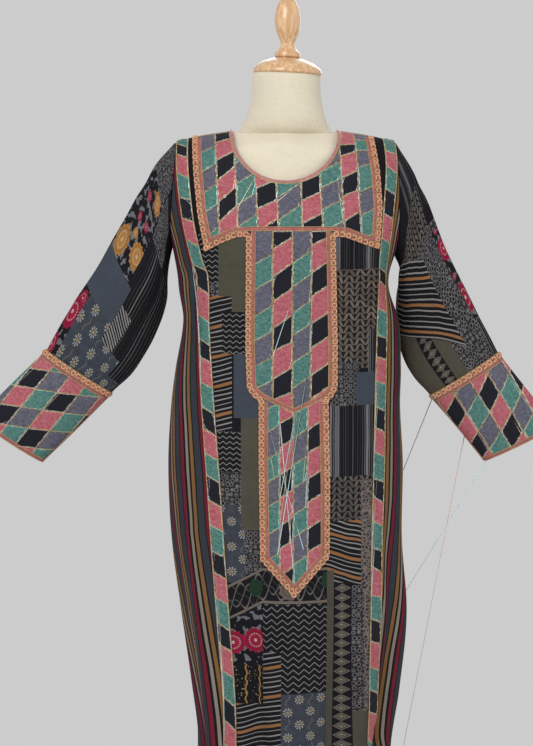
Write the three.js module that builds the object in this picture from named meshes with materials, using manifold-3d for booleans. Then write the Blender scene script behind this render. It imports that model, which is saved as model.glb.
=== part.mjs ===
// A long-sleeved kandura worn by a limbless dress form on a pole and a round foot.
// Millimetres, +Z up, -Y to the front, +X to the right of someone who looks at its front.
// The origin is on the floor, in the middle of the foot.
import * as THREE from "three";
import { mergeVertices } from "three/addons/utils/BufferGeometryUtils.js";
import Module from "manifold-3d";

// ---------------------------------------------------------------- driving dimensions
const NECK_POINT_Z = 1453; // where the shoulder seam meets the neck binding
const GARMENT_LENGTH = 1400; // neck point to hem
const HEM_Z = NECK_POINT_Z - GARMENT_LENGTH;
const WALL = 1.6; // cotton cloth with its turnings
const TRIM = 1.2; // embroidered panels and braid
const SEAM_GAP = 0.3;

const SHOULDER = { slope: 0.14, roundedBy: 7, over: 100 }; // fall of the ridge, and its rounding at the tip
const SHOULDER_ROLL = 80; // height over which the cloth rounds over the shoulder
const ROLL_ARC = 126; // length of that rounding, measured down the cloth

const NECKLINE = { centre: -4, halfWidth: 90, frontDrop: 85, backDrop: 20 };
const CHEST_Z = 1335;
const UNDERARM_Z = 1250;

const BAND_WIDTH = 24;
const BRAID_WIDTH = 9;

const FOOT = { radius: 175, thickness: 28, edge: 7 };
const POLE_RADIUS = 14;
const TORSO_BOTTOM_Z = 760;
const NECK_TOP_Z = 1549;
const CAP_TILT = { slope: 0.045, from: 1500 }; // the top of the neck falls this much per mm to the right

// Outline of the body of the garment, level by level: half-widths to each side, depths to front and back.
const BODY_SECTIONS = [
  { z: 1470, left: 206, right: 204, front: 86, back: 84 },
  { z: 1400, left: 212, right: 207, front: 92, back: 94 },
  { z: 1340, left: 213, right: 205, front: 106, back: 104 },
  { z: 1290, left: 206, right: 198, front: 124, back: 105 },
  { z: 1250, left: 197, right: 188, front: 127, back: 103 },
  { z: 1211, left: 190, right: 176, front: 126, back: 101 },
  { z: 1180, left: 187, right: 176, front: 124, back: 99 },
  { z: 1127, left: 180, right: 193, front: 121, back: 98 },
  { z: 1043, left: 194, right: 198, front: 120, back: 105 },
  { z: 980, left: 202, right: 197, front: 121, back: 113 },
  { z: 873, left: 208, right: 203, front: 125, back: 123 },
  { z: 743, left: 203, right: 201, front: 132, back: 130 },
  { z: 613, left: 187, right: 208, front: 139, back: 138 },
  { z: 480, left: 169, right: 194, front: 146, back: 146 },
  { z: 369, left: 157, right: 177, front: 152, back: 152 },
  { z: 200, left: 162, right: 176, front: 160, back: 162 },
  { z: 40, left: 172, right: 182, front: 168, back: 172 },
];
const BODY_ROUNDNESS = 2.2;

// Princess seams, as distances from the middle. The front ones carry the bands.
const SEAMS = [
  { z: 1470, frontLeft: 180, frontRight: 170, back: 150 },
  { z: 1395, frontLeft: 178, frontRight: 175, back: 150 },
  { z: 1308, frontLeft: 168, frontRight: 168, back: 148 },
  { z: 1236, frontLeft: 152, frontRight: 161, back: 140 },
  { z: 1211, frontLeft: 143, frontRight: 160, back: 135 },
  { z: 1122, frontLeft: 141, frontRight: 159, back: 124 },
  { z: 1009, frontLeft: 136, frontRight: 157, back: 122 },
  { z: 865, frontLeft: 126, frontRight: 155, back: 122 },
  { z: 742, frontLeft: 118, frontRight: 152, back: 120 },
  { z: 633, frontLeft: 110, frontRight: 151, back: 117 },
  { z: 454, frontLeft: 98, frontRight: 146, back: 112 },
  { z: 250, frontLeft: 100, frontRight: 145, back: 112 },
  { z: 40, frontLeft: 106, frontRight: 150, back: 118 },
];

// Skirt folds. at and half are degrees round the body (0 right, 90 front, 180 left, 270 back), top is where
// the fold starts, and hem is how far it stands out there (a trough where negative).
const FOLDS = [
  { at: 14, half: 13, top: 860, hem: 13 },
  { at: 30, half: 9, top: 820, hem: -19 },
  { at: 51, half: 10, top: 720, hem: 9 },
  { at: 67, half: 11, top: 860, hem: -14 },
  { at: 90, half: 14, top: 760, hem: 15 },
  { at: 108, half: 11, top: 780, hem: -17 },
  { at: 139, half: 13, top: 800, hem: 20 },
  { at: 163, half: 12, top: 860, hem: -13 },
  { at: 200, half: 15, top: 900, hem: 14 },
  { at: 224, half: 13, top: 860, hem: -16 },
  { at: 247, half: 14, top: 780, hem: 13 },
  { at: 270, half: 13, top: 900, hem: -17 },
  { at: 293, half: 14, top: 780, hem: 14 },
  { at: 317, half: 13, top: 860, hem: -16 },
  { at: 341, half: 13, top: 900, hem: 12 },
];

// Armholes: ovals in side view, from the shoulder tip down to the underarm.
const ARMHOLES = {
  left: { side: -1, top: 1433, bottom: 1254, halfDepth: 47 },
  right: { side: 1, top: 1433, bottom: 1240, halfDepth: 47 },
};

// Sleeves, ring by ring down to the cuff's hem: the ring's outer and inner edge and its half thickness.
const SLEEVE_RINGS = {
  left: [
    { outX: -223, outZ: 1397, outY: 0, inX: -204, inZ: 1228, inY: 0, half: 42 },
    { outX: -246, outZ: 1356, outY: 0, inX: -208, inZ: 1183, inY: 2, half: 38 },
    { outX: -272, outZ: 1315, outY: 0, inX: -214, inZ: 1146, inY: 3, half: 35 },
    { outX: -304, outZ: 1267, outY: 0, inX: -231, inZ: 1106, inY: 3, half: 32 },
    { outX: -337, outZ: 1211, outY: 0, inX: -254, inZ: 1064, inY: 2, half: 29 },
    { outX: -375, outZ: 1152, outY: 0, inX: -278, inZ: 1029, inY: 0, half: 25 },
    { outX: -419, outZ: 1075, outY: 0, inX: -307, inZ: 1001, inY: 0, half: 20 },
  ],
  right: [
    { outX: 212, outZ: 1388, outY: 0, inX: 196, inZ: 1216, inY: 10, half: 40 },
    { outX: 231, outZ: 1346, outY: 0, inX: 194, inZ: 1180, inY: 30, half: 36 },
    { outX: 252, outZ: 1301, outY: 0, inX: 193, inZ: 1136, inY: 42, half: 33 },
    { outX: 275, outZ: 1253, outY: 0, inX: 199, inZ: 1090, inY: 40, half: 30 },
    { outX: 304, outZ: 1197, outY: 0, inX: 213, inZ: 1049, inY: 30, half: 28 },
    { outX: 336, outZ: 1131, outY: 0, inX: 232, inZ: 1018, inY: 14, half: 25 },
    { outX: 367, outZ: 1071, outY: 0, inX: 251, inZ: 996, inY: 4, half: 20 },
  ],
};
const CUFF_RINGS = {
  left: [
    { outX: -482, outZ: 1015, outY: 0, inX: -369, inZ: 939, inY: 0, half: 19 },
    { outX: -544, outZ: 953, outY: 0, inX: -432, inZ: 878, inY: 0, half: 18 },
  ],
  right: [
    { outX: 419, outZ: 1006, outY: 0, inX: 301, inZ: 939, inY: 2, half: 19 },
    { outX: 471, outZ: 941, outY: 0, inX: 349, inZ: 880, inY: 0, half: 18 },
  ],
};
const SLEEVE_FOLD = { depth: 4, waves: 3, twist: 2.2 };

// Outer edge of the braid, seen from the front: from over the shoulder down the yoke, along its foot to the
// placket, and down that.
const BRAID_PATHS = {
  left: [
    { x: -162, z: 1480 },
    { x: -162, z: 1437 },
    { x: -158, z: 1380 },
    { x: -151, z: 1314 },
    { x: -138, z: 1251 },
    { x: -112, z: 1265 },
    { x: -86, z: 1275.5 },
    { x: -69.5, z: 1276.5 },
    { x: -71, z: 1092 },
    { x: -68.5, z: 1023 },
    { x: -61, z: 1011 },
    { x: -49, z: 1001 },
  ],
  right: [
    { x: 146, z: 1480 },
    { x: 146, z: 1440 },
    { x: 154, z: 1385 },
    { x: 158, z: 1325 },
    { x: 153, z: 1254 },
    { x: 122, z: 1265 },
    { x: 94, z: 1275.5 },
    { x: 78, z: 1276.5 },
    { x: 83, z: 1092 },
    { x: 83, z: 1023 },
    { x: 77, z: 1011 },
    { x: 68, z: 1001 },
  ],
  lower: [
    { x: -49, z: 1000.4 },
    { x: -49, z: 897 },
    { x: -46.5, z: 732 },
    { x: 11, z: 668 },
    { x: 71, z: 735 },
    { x: 71, z: 860 },
    { x: 68, z: 1000.4 },
  ],
};
// The V where the upper placket ends and the lower one begins.
const PLACKET_POINT = { x: 10, z: 983 };

// The dress form under the cloth. Where its shoulders reach the cloth, they follow that from below.
const FORM_SECTIONS = [
  { z: 760, left: 146, right: 146, front: 94, back: 104, roundness: 2.1 },
  { z: 768, left: 154, right: 154, front: 99, back: 112, roundness: 2.1 },
  { z: 830, left: 163, right: 163, front: 102, back: 118, roundness: 2.1 },
  { z: 900, left: 166, right: 166, front: 103, back: 116, roundness: 2.1 },
  { z: 980, left: 156, right: 156, front: 99, back: 106, roundness: 2.1 },
  { z: 1055, left: 133, right: 133, front: 93, back: 91, roundness: 2.1 },
  { z: 1125, left: 116, right: 116, front: 89, back: 82, roundness: 2.1 },
  { z: 1190, left: 130, right: 130, front: 101, back: 84, roundness: 2.1 },
  { z: 1245, left: 150, right: 150, front: 113, back: 89, roundness: 2.1 },
  { z: 1290, left: 163, right: 163, front: 115, back: 92, roundness: 2.1 },
  { z: 1335, left: 174, right: 174, front: 99, back: 92, roundness: 2.1 },
  { z: 1375, left: 181, right: 181, front: 84, back: 84, roundness: 2.1 },
  { z: 1400, left: 184, right: 184, front: 76, back: 78, roundness: 2.1 },
  { z: 1416, left: 185, right: 185, front: 71, back: 74, roundness: 2.1 },
  { z: 1426, left: 185, right: 185, front: 68, back: 71, roundness: 2.1 },
  { z: 1432, left: 184, right: 184, front: 66, back: 70, roundness: 2.0 },
  { z: 1436, left: 184, right: 184, front: 65, back: 69, roundness: 1.9 },
  { z: 1440, left: 184, right: 184, front: 64, back: 68, roundness: 1.8 },
  { z: 1443.5, left: 184, right: 184, front: 62, back: 66, roundness: 1.7 },
  { z: 1447, left: 184, right: 184, front: 61, back: 64, roundness: 1.6 },
  { z: 1450, left: 184, right: 184, front: 60, back: 62, roundness: 1.6 },
  { z: 1453, left: 84, right: 76, front: 43, back: 46, roundness: 1.6 },
  { z: 1459, left: 80, right: 72, front: 48, back: 51, roundness: 1.8 },
  { z: 1467, left: 76, right: 68, front: 52, back: 55, roundness: 1.9 },
  { z: 1478, left: 70, right: 64, front: 54, back: 57, roundness: 2.0 },
  { z: 1495, left: 65, right: 60, front: 56, back: 58, roundness: 2.0 },
  { z: 1516, left: 62, right: 57, front: 57, back: 58, roundness: 2.0 },
  { z: 1549, left: 60, right: 56, front: 57, back: 57, roundness: 2.0 },
];
const NECK_BASE_Z = 1452;
const SEAT_GAP = 0.7; // between the shoulders of the form and the cloth that rests on them
// The share of the cloth's depth that the shoulders may take, at the ridge and further down.
const FORM_SHARE = { top: 0.58, below: 0.94, over: 34 };

// ---------------------------------------------------------------- small helpers
const DEG = Math.PI / 180;
const mix = (a, b, t) => a + (b - a) * t;
const signedPower = (v, p) => Math.sign(v) * Math.pow(Math.abs(v), p);
const range = (n) => Array.from({ length: n + 1 }, (_, i) => i / n);

// A smooth curve through a table's column, as a Catmull-Rom spline in z. Rows run downwards or upwards.
function column(table, key) {
  const rows = [...table].sort((a, b) => a.z - b.z);
  return (z) => {
    if (z <= rows[0].z) return rows[0][key];
    if (z >= rows[rows.length - 1].z) return rows[rows.length - 1][key];
    const i = rows.findIndex((r) => r.z >= z) - 1;
    const row = (k) => rows[Math.max(0, Math.min(rows.length - 1, k))];
    const [p, a, b, q] = [row(i - 1), row(i), row(i + 1), row(i + 2)];
    const span = b.z - a.z;
    const slopeA = (b[key] - p[key]) / Math.max(b.z - p.z, span);
    const slopeB = (q[key] - a[key]) / Math.max(q.z - a.z, span);
    const t = (z - a.z) / span;
    const h = t * t * (3 - 2 * t);
    const bend = t * (1 - t) * ((1 - t) * slopeA - t * slopeB) * span;
    return mix(a[key], b[key], h) + bend;
  };
}

// Indexed triangles as a geometry with flat, outward faces.
function geometryOf(points, triangles) {
  const geometry = new THREE.BufferGeometry();
  const positions = points.flatMap((p) => [p.x, p.y, p.z]);
  geometry.setAttribute("position", new THREE.Float32BufferAttribute(positions, 3));
  geometry.setIndex(triangles.flat());
  return geometry;
}

// Turns a shell round where its faces point inwards.
function facingOut(points, triangles) {
  const volume = triangles.reduce((sum, [a, b, c]) => {
    const cross = new THREE.Vector3().crossVectors(points[b], points[c]);
    return sum + points[a].dot(cross);
  }, 0);
  return volume > 0 ? triangles : triangles.map(([a, b, c]) => [a, c, b]);
}

// A cloth wall over a grid of {point, normal}, columns by rows, between low and high along the normal.
// wrap joins the last column to the first, which makes a tube that is open at both ends.
function wall(grid, low, high, wrap = false) {
  const columns = grid.length;
  const rows = grid[0].length;
  const points = [];
  for (const height of [low, high])
    for (const line of grid)
      for (const { point, normal } of line) points.push(point.clone().addScaledVector(normal, height));
  const at = (layer, i, j) => (layer * columns + (i % columns)) * rows + j;
  const triangles = [];
  const quad = (a, b, c, d) => triangles.push([a, b, c], [a, c, d]);
  const spans = wrap ? columns : columns - 1;
  for (let i = 0; i < spans; i++)
    for (let j = 0; j < rows - 1; j++) {
      quad(at(1, i, j), at(1, i, j + 1), at(1, i + 1, j + 1), at(1, i + 1, j));
      quad(at(0, i, j), at(0, i + 1, j), at(0, i + 1, j + 1), at(0, i, j + 1));
    }
  for (let i = 0; i < spans; i++) {
    quad(at(0, i, 0), at(1, i, 0), at(1, i + 1, 0), at(0, i + 1, 0));
    quad(at(0, i, rows - 1), at(0, i + 1, rows - 1), at(1, i + 1, rows - 1), at(1, i, rows - 1));
  }
  const last = columns - 1;
  if (!wrap)
    for (let j = 0; j < rows - 1; j++) {
      quad(at(0, 0, j), at(0, 0, j + 1), at(1, 0, j + 1), at(1, 0, j));
      quad(at(0, last, j), at(1, last, j), at(1, last, j + 1), at(0, last, j + 1));
    }
  return geometryOf(points, facingOut(points, triangles));
}

// A closed solid through rings of equal length, with a flat cap at each end.
function loft(rings) {
  const n = rings[0].length;
  const points = rings.flat();
  const triangles = [];
  for (let k = 0; k < rings.length - 1; k++)
    for (let i = 0; i < n; i++) {
      const [a, b] = [k * n + i, k * n + ((i + 1) % n)];
      triangles.push([a, b, b + n], [a, b + n, a + n]);
    }
  const centres = [rings[0], rings[rings.length - 1]].map((ring) =>
    ring.reduce((sum, p) => sum.add(p), new THREE.Vector3()).divideScalar(n),
  );
  points.push(...centres);
  const top = (rings.length - 1) * n;
  for (let i = 0; i < n; i++) {
    const next = (i + 1) % n;
    triangles.push([points.length - 2, next, i], [points.length - 1, top + i, top + next]);
  }
  return geometryOf(points, facingOut(points, triangles));
}

// ---------------------------------------------------------------- the body's surface
const leftWidth = column(BODY_SECTIONS, "left");
const rightWidth = column(BODY_SECTIONS, "right");
const frontDepth = column(BODY_SECTIONS, "front");
const backDepth = column(BODY_SECTIONS, "back");

const halfWidth = (toRight, z) => (toRight ? rightWidth(z) : leftWidth(z));
const beyondNeck = (x) => Math.abs(x - NECKLINE.centre) - NECKLINE.halfWidth;
function ridgeZ(x) {
  const beyond = beyondNeck(x);
  const rounding = SHOULDER.roundedBy * (Math.max(beyond, 0) / SHOULDER.over) ** 4;
  return NECK_POINT_Z - SHOULDER.slope * beyond - rounding;
}

// How far the folds move the cloth in or out at an angle and a height.
function foldDepth(theta, z) {
  const degrees = (((theta / DEG) % 360) + 360) % 360;
  return FOLDS.reduce((sum, fold) => {
    const off = Math.abs(((degrees - fold.at + 540) % 360) - 180) / fold.half;
    const down = (fold.top - z) / (fold.top - HEM_Z);
    if (off >= 1 || down <= 0) return sum;
    const eased = down * (2 - down);
    return sum + fold.hem * eased * Math.cos((off * Math.PI) / 2) ** 2;
  }, 0);
}

// The level outline at an angle, before the cloth rounds over the shoulder.
function outline(theta, z) {
  const [c, s] = [Math.cos(theta), Math.sin(theta)];
  const power = 2 / BODY_ROUNDNESS;
  const fold = foldDepth(theta, z);
  const depth = s > 0 ? frontDepth(z) : backDepth(z);
  return {
    x: halfWidth(c > 0, z) * signedPower(c, power) + fold * c,
    y: -depth * signedPower(s, power) - fold * s,
  };
}

// A point of the cloth, at an angle round the body and a distance down it from the shoulder ridge.
function bodyPoint(theta, down) {
  const phi = Math.min(down / ROLL_ARC, 1) * (Math.PI / 2);
  const below = Math.max(down - ROLL_ARC, 0);
  let z = NECK_POINT_Z - SHOULDER_ROLL * (1 - Math.cos(phi)) - below;
  let flat = outline(theta, z);
  for (let pass = 0; pass < 4; pass++) {
    z = ridgeZ(flat.x) - SHOULDER_ROLL * (1 - Math.cos(phi)) - below;
    flat = outline(theta, z);
  }
  return new THREE.Vector3(flat.x, flat.y * Math.sin(phi), z);
}

// The distance down the cloth at which it reaches a height, for a given x.
function downTo(x, z) {
  const drop = Math.max(ridgeZ(x) - z, 0);
  if (drop >= SHOULDER_ROLL) return ROLL_ARC + drop - SHOULDER_ROLL;
  return (ROLL_ARC * Math.acos(1 - drop / SHOULDER_ROLL)) / (Math.PI / 2);
}

// Point and outward normal at an angle and a distance down.
function bodySpot(theta, down) {
  const step = 0.004;
  const reach = Math.max(down, 2);
  const across = bodyPoint(theta + step, reach).sub(bodyPoint(theta - step, reach));
  const along = bodyPoint(theta, reach + 1).sub(bodyPoint(theta, reach - 1));
  const normal = new THREE.Vector3().crossVectors(across, along).normalize();
  return { point: bodyPoint(theta, down), normal };
}

// The angle at which the outline has a given x. Folds barely move x there, so two passes settle it.
function angleOf(x, z, toBack = false) {
  let wanted = x;
  let theta = 0;
  for (let pass = 0; pass < 3; pass++) {
    const share = Math.min(1, Math.abs(wanted) / halfWidth(wanted > 0, z));
    const turn = Math.acos(share ** (BODY_ROUNDNESS / 2));
    theta = wanted > 0 ? turn : Math.PI - turn;
    if (toBack) theta = 2 * Math.PI - theta;
    wanted += x - outline(theta, z).x;
  }
  return theta;
}

const seamX = {
  frontLeft: column(SEAMS, "frontLeft"),
  frontRight: column(SEAMS, "frontRight"),
  back: column(SEAMS, "back"),
};
const SEAM_ANGLES = {
  frontRight: (z) => angleOf(seamX.frontRight(z), z),
  frontLeft: (z) => angleOf(-seamX.frontLeft(z), z),
  backLeft: (z) => angleOf(-seamX.back(z), z, true),
  backRight: (z) => angleOf(seamX.back(z), z, true),
};

// ---------------------------------------------------------------- armholes
const armholeMiddle = (hole) => (hole.top + hole.bottom) / 2;
const armholeHeight = (hole) => (hole.top - hole.bottom) / 2;

// Half depth of the armhole at a height, 0 below it.
function armholeDepth(hole, z) {
  const share = (z - armholeMiddle(hole)) / armholeHeight(hole);
  return Math.abs(share) >= 1 ? 0 : hole.halfDepth * Math.sqrt(1 - share * share);
}

// The angle at which the cloth ends at the armhole, at a height, found by halving.
function armholeAngle(hole, z, toBack) {
  const sideAngle = hole.side > 0 ? 0 : Math.PI;
  const depth = armholeDepth(hole, z);
  if (z <= hole.bottom) return sideAngle;
  let [near, far] = [0, 65 * DEG];
  const angleAt = (turn) => {
    const theta = hole.side > 0 ? turn : Math.PI - turn;
    return toBack ? -theta : theta;
  };
  for (let pass = 0; pass < 30; pass++) {
    const turn = (near + far) / 2;
    const x = outline(angleAt(turn), z).x;
    const reached = Math.abs(bodyPoint(angleAt(turn), downTo(x, z)).y);
    if (reached > depth || ridgeZ(x) < z) near = ridgeZ(x) < z ? turn : near;
    if (reached > depth && ridgeZ(x) >= z) far = turn;
    else near = turn;
  }
  return angleAt((near + far) / 2);
}

// ---------------------------------------------------------------- body panels
// Rows of a panel: one just under the top edge, and then so many to the chest, the underarm and the hem.
const EDGE_ROW = 4;
const ROWS = { chest: 6, underarm: 2, skirt: 16 };

// Heights below the chest, shared by all panels so that their seams match.
const LOWER_LEVELS = [
  ...range(ROWS.underarm).slice(1).map((t) => mix(CHEST_Z, UNDERARM_Z, t)),
  ...range(ROWS.skirt).slice(1).map((t) => mix(UNDERARM_Z, HEM_Z, t)),
];

// A column of cloth: angleAt(z, t) gives its angle at a height, where t runs from 0 at the top edge to 1 at
// the chest and below; topDown is how far below the ridge it starts.
function panelColumn(angleAt, topDown) {
  const chestDown = downTo(outline(angleAt(CHEST_Z, 1), CHEST_Z).x, CHEST_Z);
  const downs = [topDown, ...range(ROWS.chest).map((t) => mix(topDown + EDGE_ROW, chestDown, t))];
  const spots = downs.map((down) => {
    const t = (down - topDown) / (chestDown - topDown);
    let z = NECK_POINT_Z;
    for (let pass = 0; pass < 6; pass++) z = bodyPoint(angleAt(z, t), down).z;
    return bodySpot(angleAt(z, t), down);
  });
  for (const z of LOWER_LEVELS) {
    const theta = angleAt(z, 1);
    spots.push(bodySpot(theta, downTo(outline(theta, z).x, z)));
  }
  return spots;
}

// Moves a spot sideways along the cloth by a few tenths, which leaves the gap at a seam.
const seamShift = (angle, z, distance) => {
  const reach = outline(angle + 0.01, z);
  const here = outline(angle, z);
  return angle + (0.01 * distance) / Math.hypot(reach.x - here.x, reach.y - here.y);
};

// Moves the two edges that meet on the shoulder ridge or at the side apart, to the front and to the back.
function parted(spots, toBack) {
  for (const { point, normal } of spots)
    if (Math.abs(point.y) < SEAM_GAP) {
      point.y = toBack ? SEAM_GAP / 2 : -SEAM_GAP / 2;
      normal.setY(0).normalize();
    }
  return spots;
}

// Height of the neckline at an x, or null beside the neck.
function necklineZ(x, drop) {
  const share = (x - NECKLINE.centre) / NECKLINE.halfWidth;
  return Math.abs(share) >= 1 ? null : NECK_POINT_Z - drop * Math.sqrt(1 - share * share);
}

// Front or back: columns from the right seam to the left one, with one at each neck point. At the top those
// along the neckline crowd towards the neck points, where it climbs over the shoulder; below they are even.
const NECK_CROWDING = 1.9;
function centreColumns(rightSeam, leftSeam, drop, toBack, neckColumns, besideColumns) {
  const turn = Math.sign(leftSeam(1000) - rightSeam(1000));
  const angleOfShare = (share, z) => {
    const a = seamShift(rightSeam(z), z, (turn * SEAM_GAP) / 2);
    const b = seamShift(leftSeam(z), z, (-turn * SEAM_GAP) / 2);
    return mix(a, b, share);
  };
  const shareOf = (x, z) => {
    const [a, b] = [rightSeam(z), leftSeam(z)];
    return (angleOf(x, z, toBack) - a) / (b - a);
  };
  const neck = range(neckColumns).map((t) => {
    const half = (1 - Math.abs(1 - 2 * t)) ** NECK_CROWDING;
    const reach = NECKLINE.halfWidth * Math.cos((Math.PI / 2) * half);
    const x = NECKLINE.centre + Math.sign(0.5 - t) * reach;
    const z = necklineZ(x, drop) ?? NECK_POINT_Z;
    return { top: shareOf(x, z), topDown: downTo(x, z) };
  });
  const [first, last] = [neck[0].top, neck[neck.length - 1].top];
  const beside = range(besideColumns).slice(0, -1);
  const columns = [
    ...beside.map((t) => ({ top: first * t, topDown: 0 })),
    ...neck,
    ...beside.map((t) => ({ top: mix(1, last, t), topDown: 0 })).reverse(),
  ];
  return columns.map(({ top, topDown }, i) => {
    const even = i / (columns.length - 1);
    return parted(panelColumn((z, t) => angleOfShare(mix(top, even, t), z), topDown), toBack);
  });
}

// A side panel: columns from the princess seam to the side seam, cut away at the armhole.
function sideColumns(seam, hole, toBack, columns) {
  const side = hole.side > 0 ? 0 : Math.PI;
  const sideAngle = toBack && hole.side > 0 ? 2 * Math.PI : side;
  const turn = Math.sign(sideAngle - seam(1000));
  return range(columns).map((share) => {
    const angleAt = (z) => {
      let edge = z > hole.bottom ? armholeAngle(hole, Math.min(z, hole.top), toBack) : sideAngle;
      if (toBack && z > hole.bottom) edge += 2 * Math.PI;
      return mix(seamShift(seam(z), z, (turn * SEAM_GAP) / 2), edge, share);
    };
    return parted(panelColumn(angleAt, 0), toBack);
  });
}

const panels = {
  front: centreColumns(SEAM_ANGLES.frontRight, SEAM_ANGLES.frontLeft, NECKLINE.frontDrop, false, 14, 2),
  back: centreColumns(SEAM_ANGLES.backRight, SEAM_ANGLES.backLeft, NECKLINE.backDrop, true, 10, 2),
  sideFrontLeft: sideColumns(SEAM_ANGLES.frontLeft, ARMHOLES.left, false, 5),
  sideFrontRight: sideColumns(SEAM_ANGLES.frontRight, ARMHOLES.right, false, 5).reverse(),
  sideBackLeft: sideColumns(SEAM_ANGLES.backLeft, ARMHOLES.left, true, 5),
  sideBackRight: sideColumns(SEAM_ANGLES.backRight, ARMHOLES.right, true, 5),
};

// ---------------------------------------------------------------- what is sewn on the front
const TRIM_LOW = WALL / 2 + SEAM_GAP;
const TRIM_HIGH = TRIM_LOW + TRIM;

const wasm = await Module();
wasm.setup();

function solidOf(geometry) {
  const bare = new THREE.BufferGeometry();
  bare.setAttribute("position", geometry.getAttribute("position"));
  bare.setIndex(geometry.index);
  const merged = mergeVertices(bare, 1e-4);
  const triVerts = new Uint32Array(merged.index.array);
  const vertProperties = merged.getAttribute("position").array;
  return new wasm.Manifold(new wasm.Mesh({ numProp: 3, vertProperties, triVerts }));
}

// SLIVER is the length under which a cut's leftover edges are closed up.
const SLIVER = 0.02;
function geometryOfSolid(solid) {
  const { numVert, numProp, vertProperties, triVerts } = solid.simplify(SLIVER).getMesh();
  const positions = new Float32Array(numVert * 3);
  for (let i = 0; i < numVert; i++) {
    const start = i * numProp;
    positions.set(vertProperties.subarray(start, start + 3), i * 3);
  }
  const geometry = new THREE.BufferGeometry();
  geometry.setAttribute("position", new THREE.BufferAttribute(positions, 3));
  geometry.setIndex(new THREE.BufferAttribute(new Uint32Array(triVerts), 1));
  return geometry;
}

// The front's own points moved out, from side panel to side panel. What is sewn on is cut from this layer.
const besideSeam = 2;
const layer = solidOf(
  wall(
    [
      ...panels.sideFrontRight.slice(-besideSeam),
      ...panels.front,
      ...panels.sideFrontLeft.slice(0, besideSeam),
    ],
    TRIM_LOW,
    TRIM_HIGH,
  ),
);

// Leaves out the points of an outline that lie on the line between their neighbours.
function cornersOf(points) {
  return points.filter((p, i) => {
    const a = points.at(i - 1);
    const b = points[(i + 1) % points.length];
    return Math.abs((p.x - a.x) * (b.z - p.z) - (p.z - a.z) * (b.x - p.x)) > 0.05;
  });
}

// The layer inside an outline, given as {x, z} seen from the front.
function cutOut(outlinePoints) {
  const shape = new THREE.Shape(cornersOf(outlinePoints).map(({ x, z }) => new THREE.Vector2(x, z)));
  const prism = new THREE.ExtrudeGeometry(shape, { depth: 300, bevelEnabled: false }).rotateX(Math.PI / 2);
  return geometryOfSolid(layer.intersect(solidOf(prism)));
}

// The layer between two edges with the same number of points, seen from the front.
function cutBetween(edges) {
  const forward = new THREE.Vector3(0, -1, 0);
  const spot = ({ x, z }) => ({ point: new THREE.Vector3(x, 0, z), normal: forward });
  const grid = edges.map((edge) => edge.map(spot));
  return geometryOfSolid(layer.intersect(solidOf(wall(grid, 0, 300))));
}

// The path moved sideways by a distance, with mitred corners. Positive is to the right of its direction.
function besidePath(path, distance) {
  const unit = (a, b) => new THREE.Vector2(b.x - a.x, b.z - a.z).normalize();
  return path.map((p, i) => {
    const u = i > 0 ? unit(path[i - 1], p) : unit(p, path[i + 1]);
    const v = i < path.length - 1 ? unit(p, path[i + 1]) : u;
    const normal = new THREE.Vector2(u.y + v.y, -u.x - v.x);
    const scale = distance / (normal.x * u.y - normal.y * u.x);
    return { x: p.x + normal.x * scale, z: p.z + normal.y * scale };
  });
}

const strip = (path, width) => cutBetween([path, besidePath(path, width)]);

// Inner edges of the braid: points 0 to 4 run down the yoke, 4 to 7 along its foot, then down the placket.
const PANEL_INSET = BRAID_WIDTH + SEAM_GAP;
const insideLeft = besidePath(BRAID_PATHS.left, -PANEL_INSET);
const insideRight = besidePath(BRAID_PATHS.right, PANEL_INSET);
const insideLower = besidePath(BRAID_PATHS.lower, -PANEL_INSET);
const YOKE_BELOW_RIDGE = 3.5; // the shoulder seam lies a little to the front
const BINDING_WIDTH = 3.2;
const BINDING_ROOM = BINDING_WIDTH + SEAM_GAP; // it lies inside the yoke's upper edge

function yoke() {
  const neck = range(24).map((t) => ({
    x: NECKLINE.centre + (NECKLINE.halfWidth + BINDING_ROOM) * Math.cos(Math.PI * t),
    z: NECK_POINT_Z - (NECKLINE.frontDrop + BINDING_ROOM) * Math.sin(Math.PI * t),
  }));
  const shoulder = (x) => ({ x, z: ridgeZ(x) - YOKE_BELOW_RIDGE });
  const topLeft = [insideLeft[0].x, -130, neck.at(-1).x].map(shoulder);
  const topRight = [neck[0].x, 120, insideRight[0].x].map(shoulder);
  const below = (line) => line.slice(1, 8);
  return cutOut([
    ...topLeft.reverse(),
    ...below(insideLeft),
    ...below(insideRight).reverse(),
    ...topRight.reverse(),
    ...neck.filter(({ x, z }) => z < ridgeZ(x) - YOKE_BELOW_RIDGE),
  ]);
}

function upperPlacket() {
  const top = [insideLeft[7], insideRight[7]].map(({ x, z }) => ({ x, z: z - SEAM_GAP }));
  const [left, right] = [insideLeft.slice(8), insideRight.slice(8)];
  return cutOut([top[0], ...left, PLACKET_POINT, ...right.reverse(), top[1]]);
}

function lowerPlacket() {
  const underPoint = (x, end) => {
    const t = (x - PLACKET_POINT.x) / (end.x - PLACKET_POINT.x);
    return { x, z: mix(PLACKET_POINT.z, end.z, t) - 2 * SEAM_GAP };
  };
  const [left, right] = [insideLeft.at(-1), insideRight.at(-1)];
  const notch = [
    underPoint(insideLower.at(-1).x, right),
    underPoint(PLACKET_POINT.x, right),
    underPoint(insideLower[0].x, left),
  ];
  return cutOut([...insideLower, ...notch]);
}

const BAND_STEPS = 44;

// A band over a princess seam, from the shoulder ridge to the hem.
function band(seam) {
  const edge = (share) =>
    range(BAND_STEPS).map((t) => {
      const z = mix(1470, HEM_Z - 20, t);
      return { x: outline(seamShift(seam(z), z, share * BAND_WIDTH), z).x, z };
    });
  return cutBetween([edge(-0.5), edge(0.5)]);
}

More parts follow.
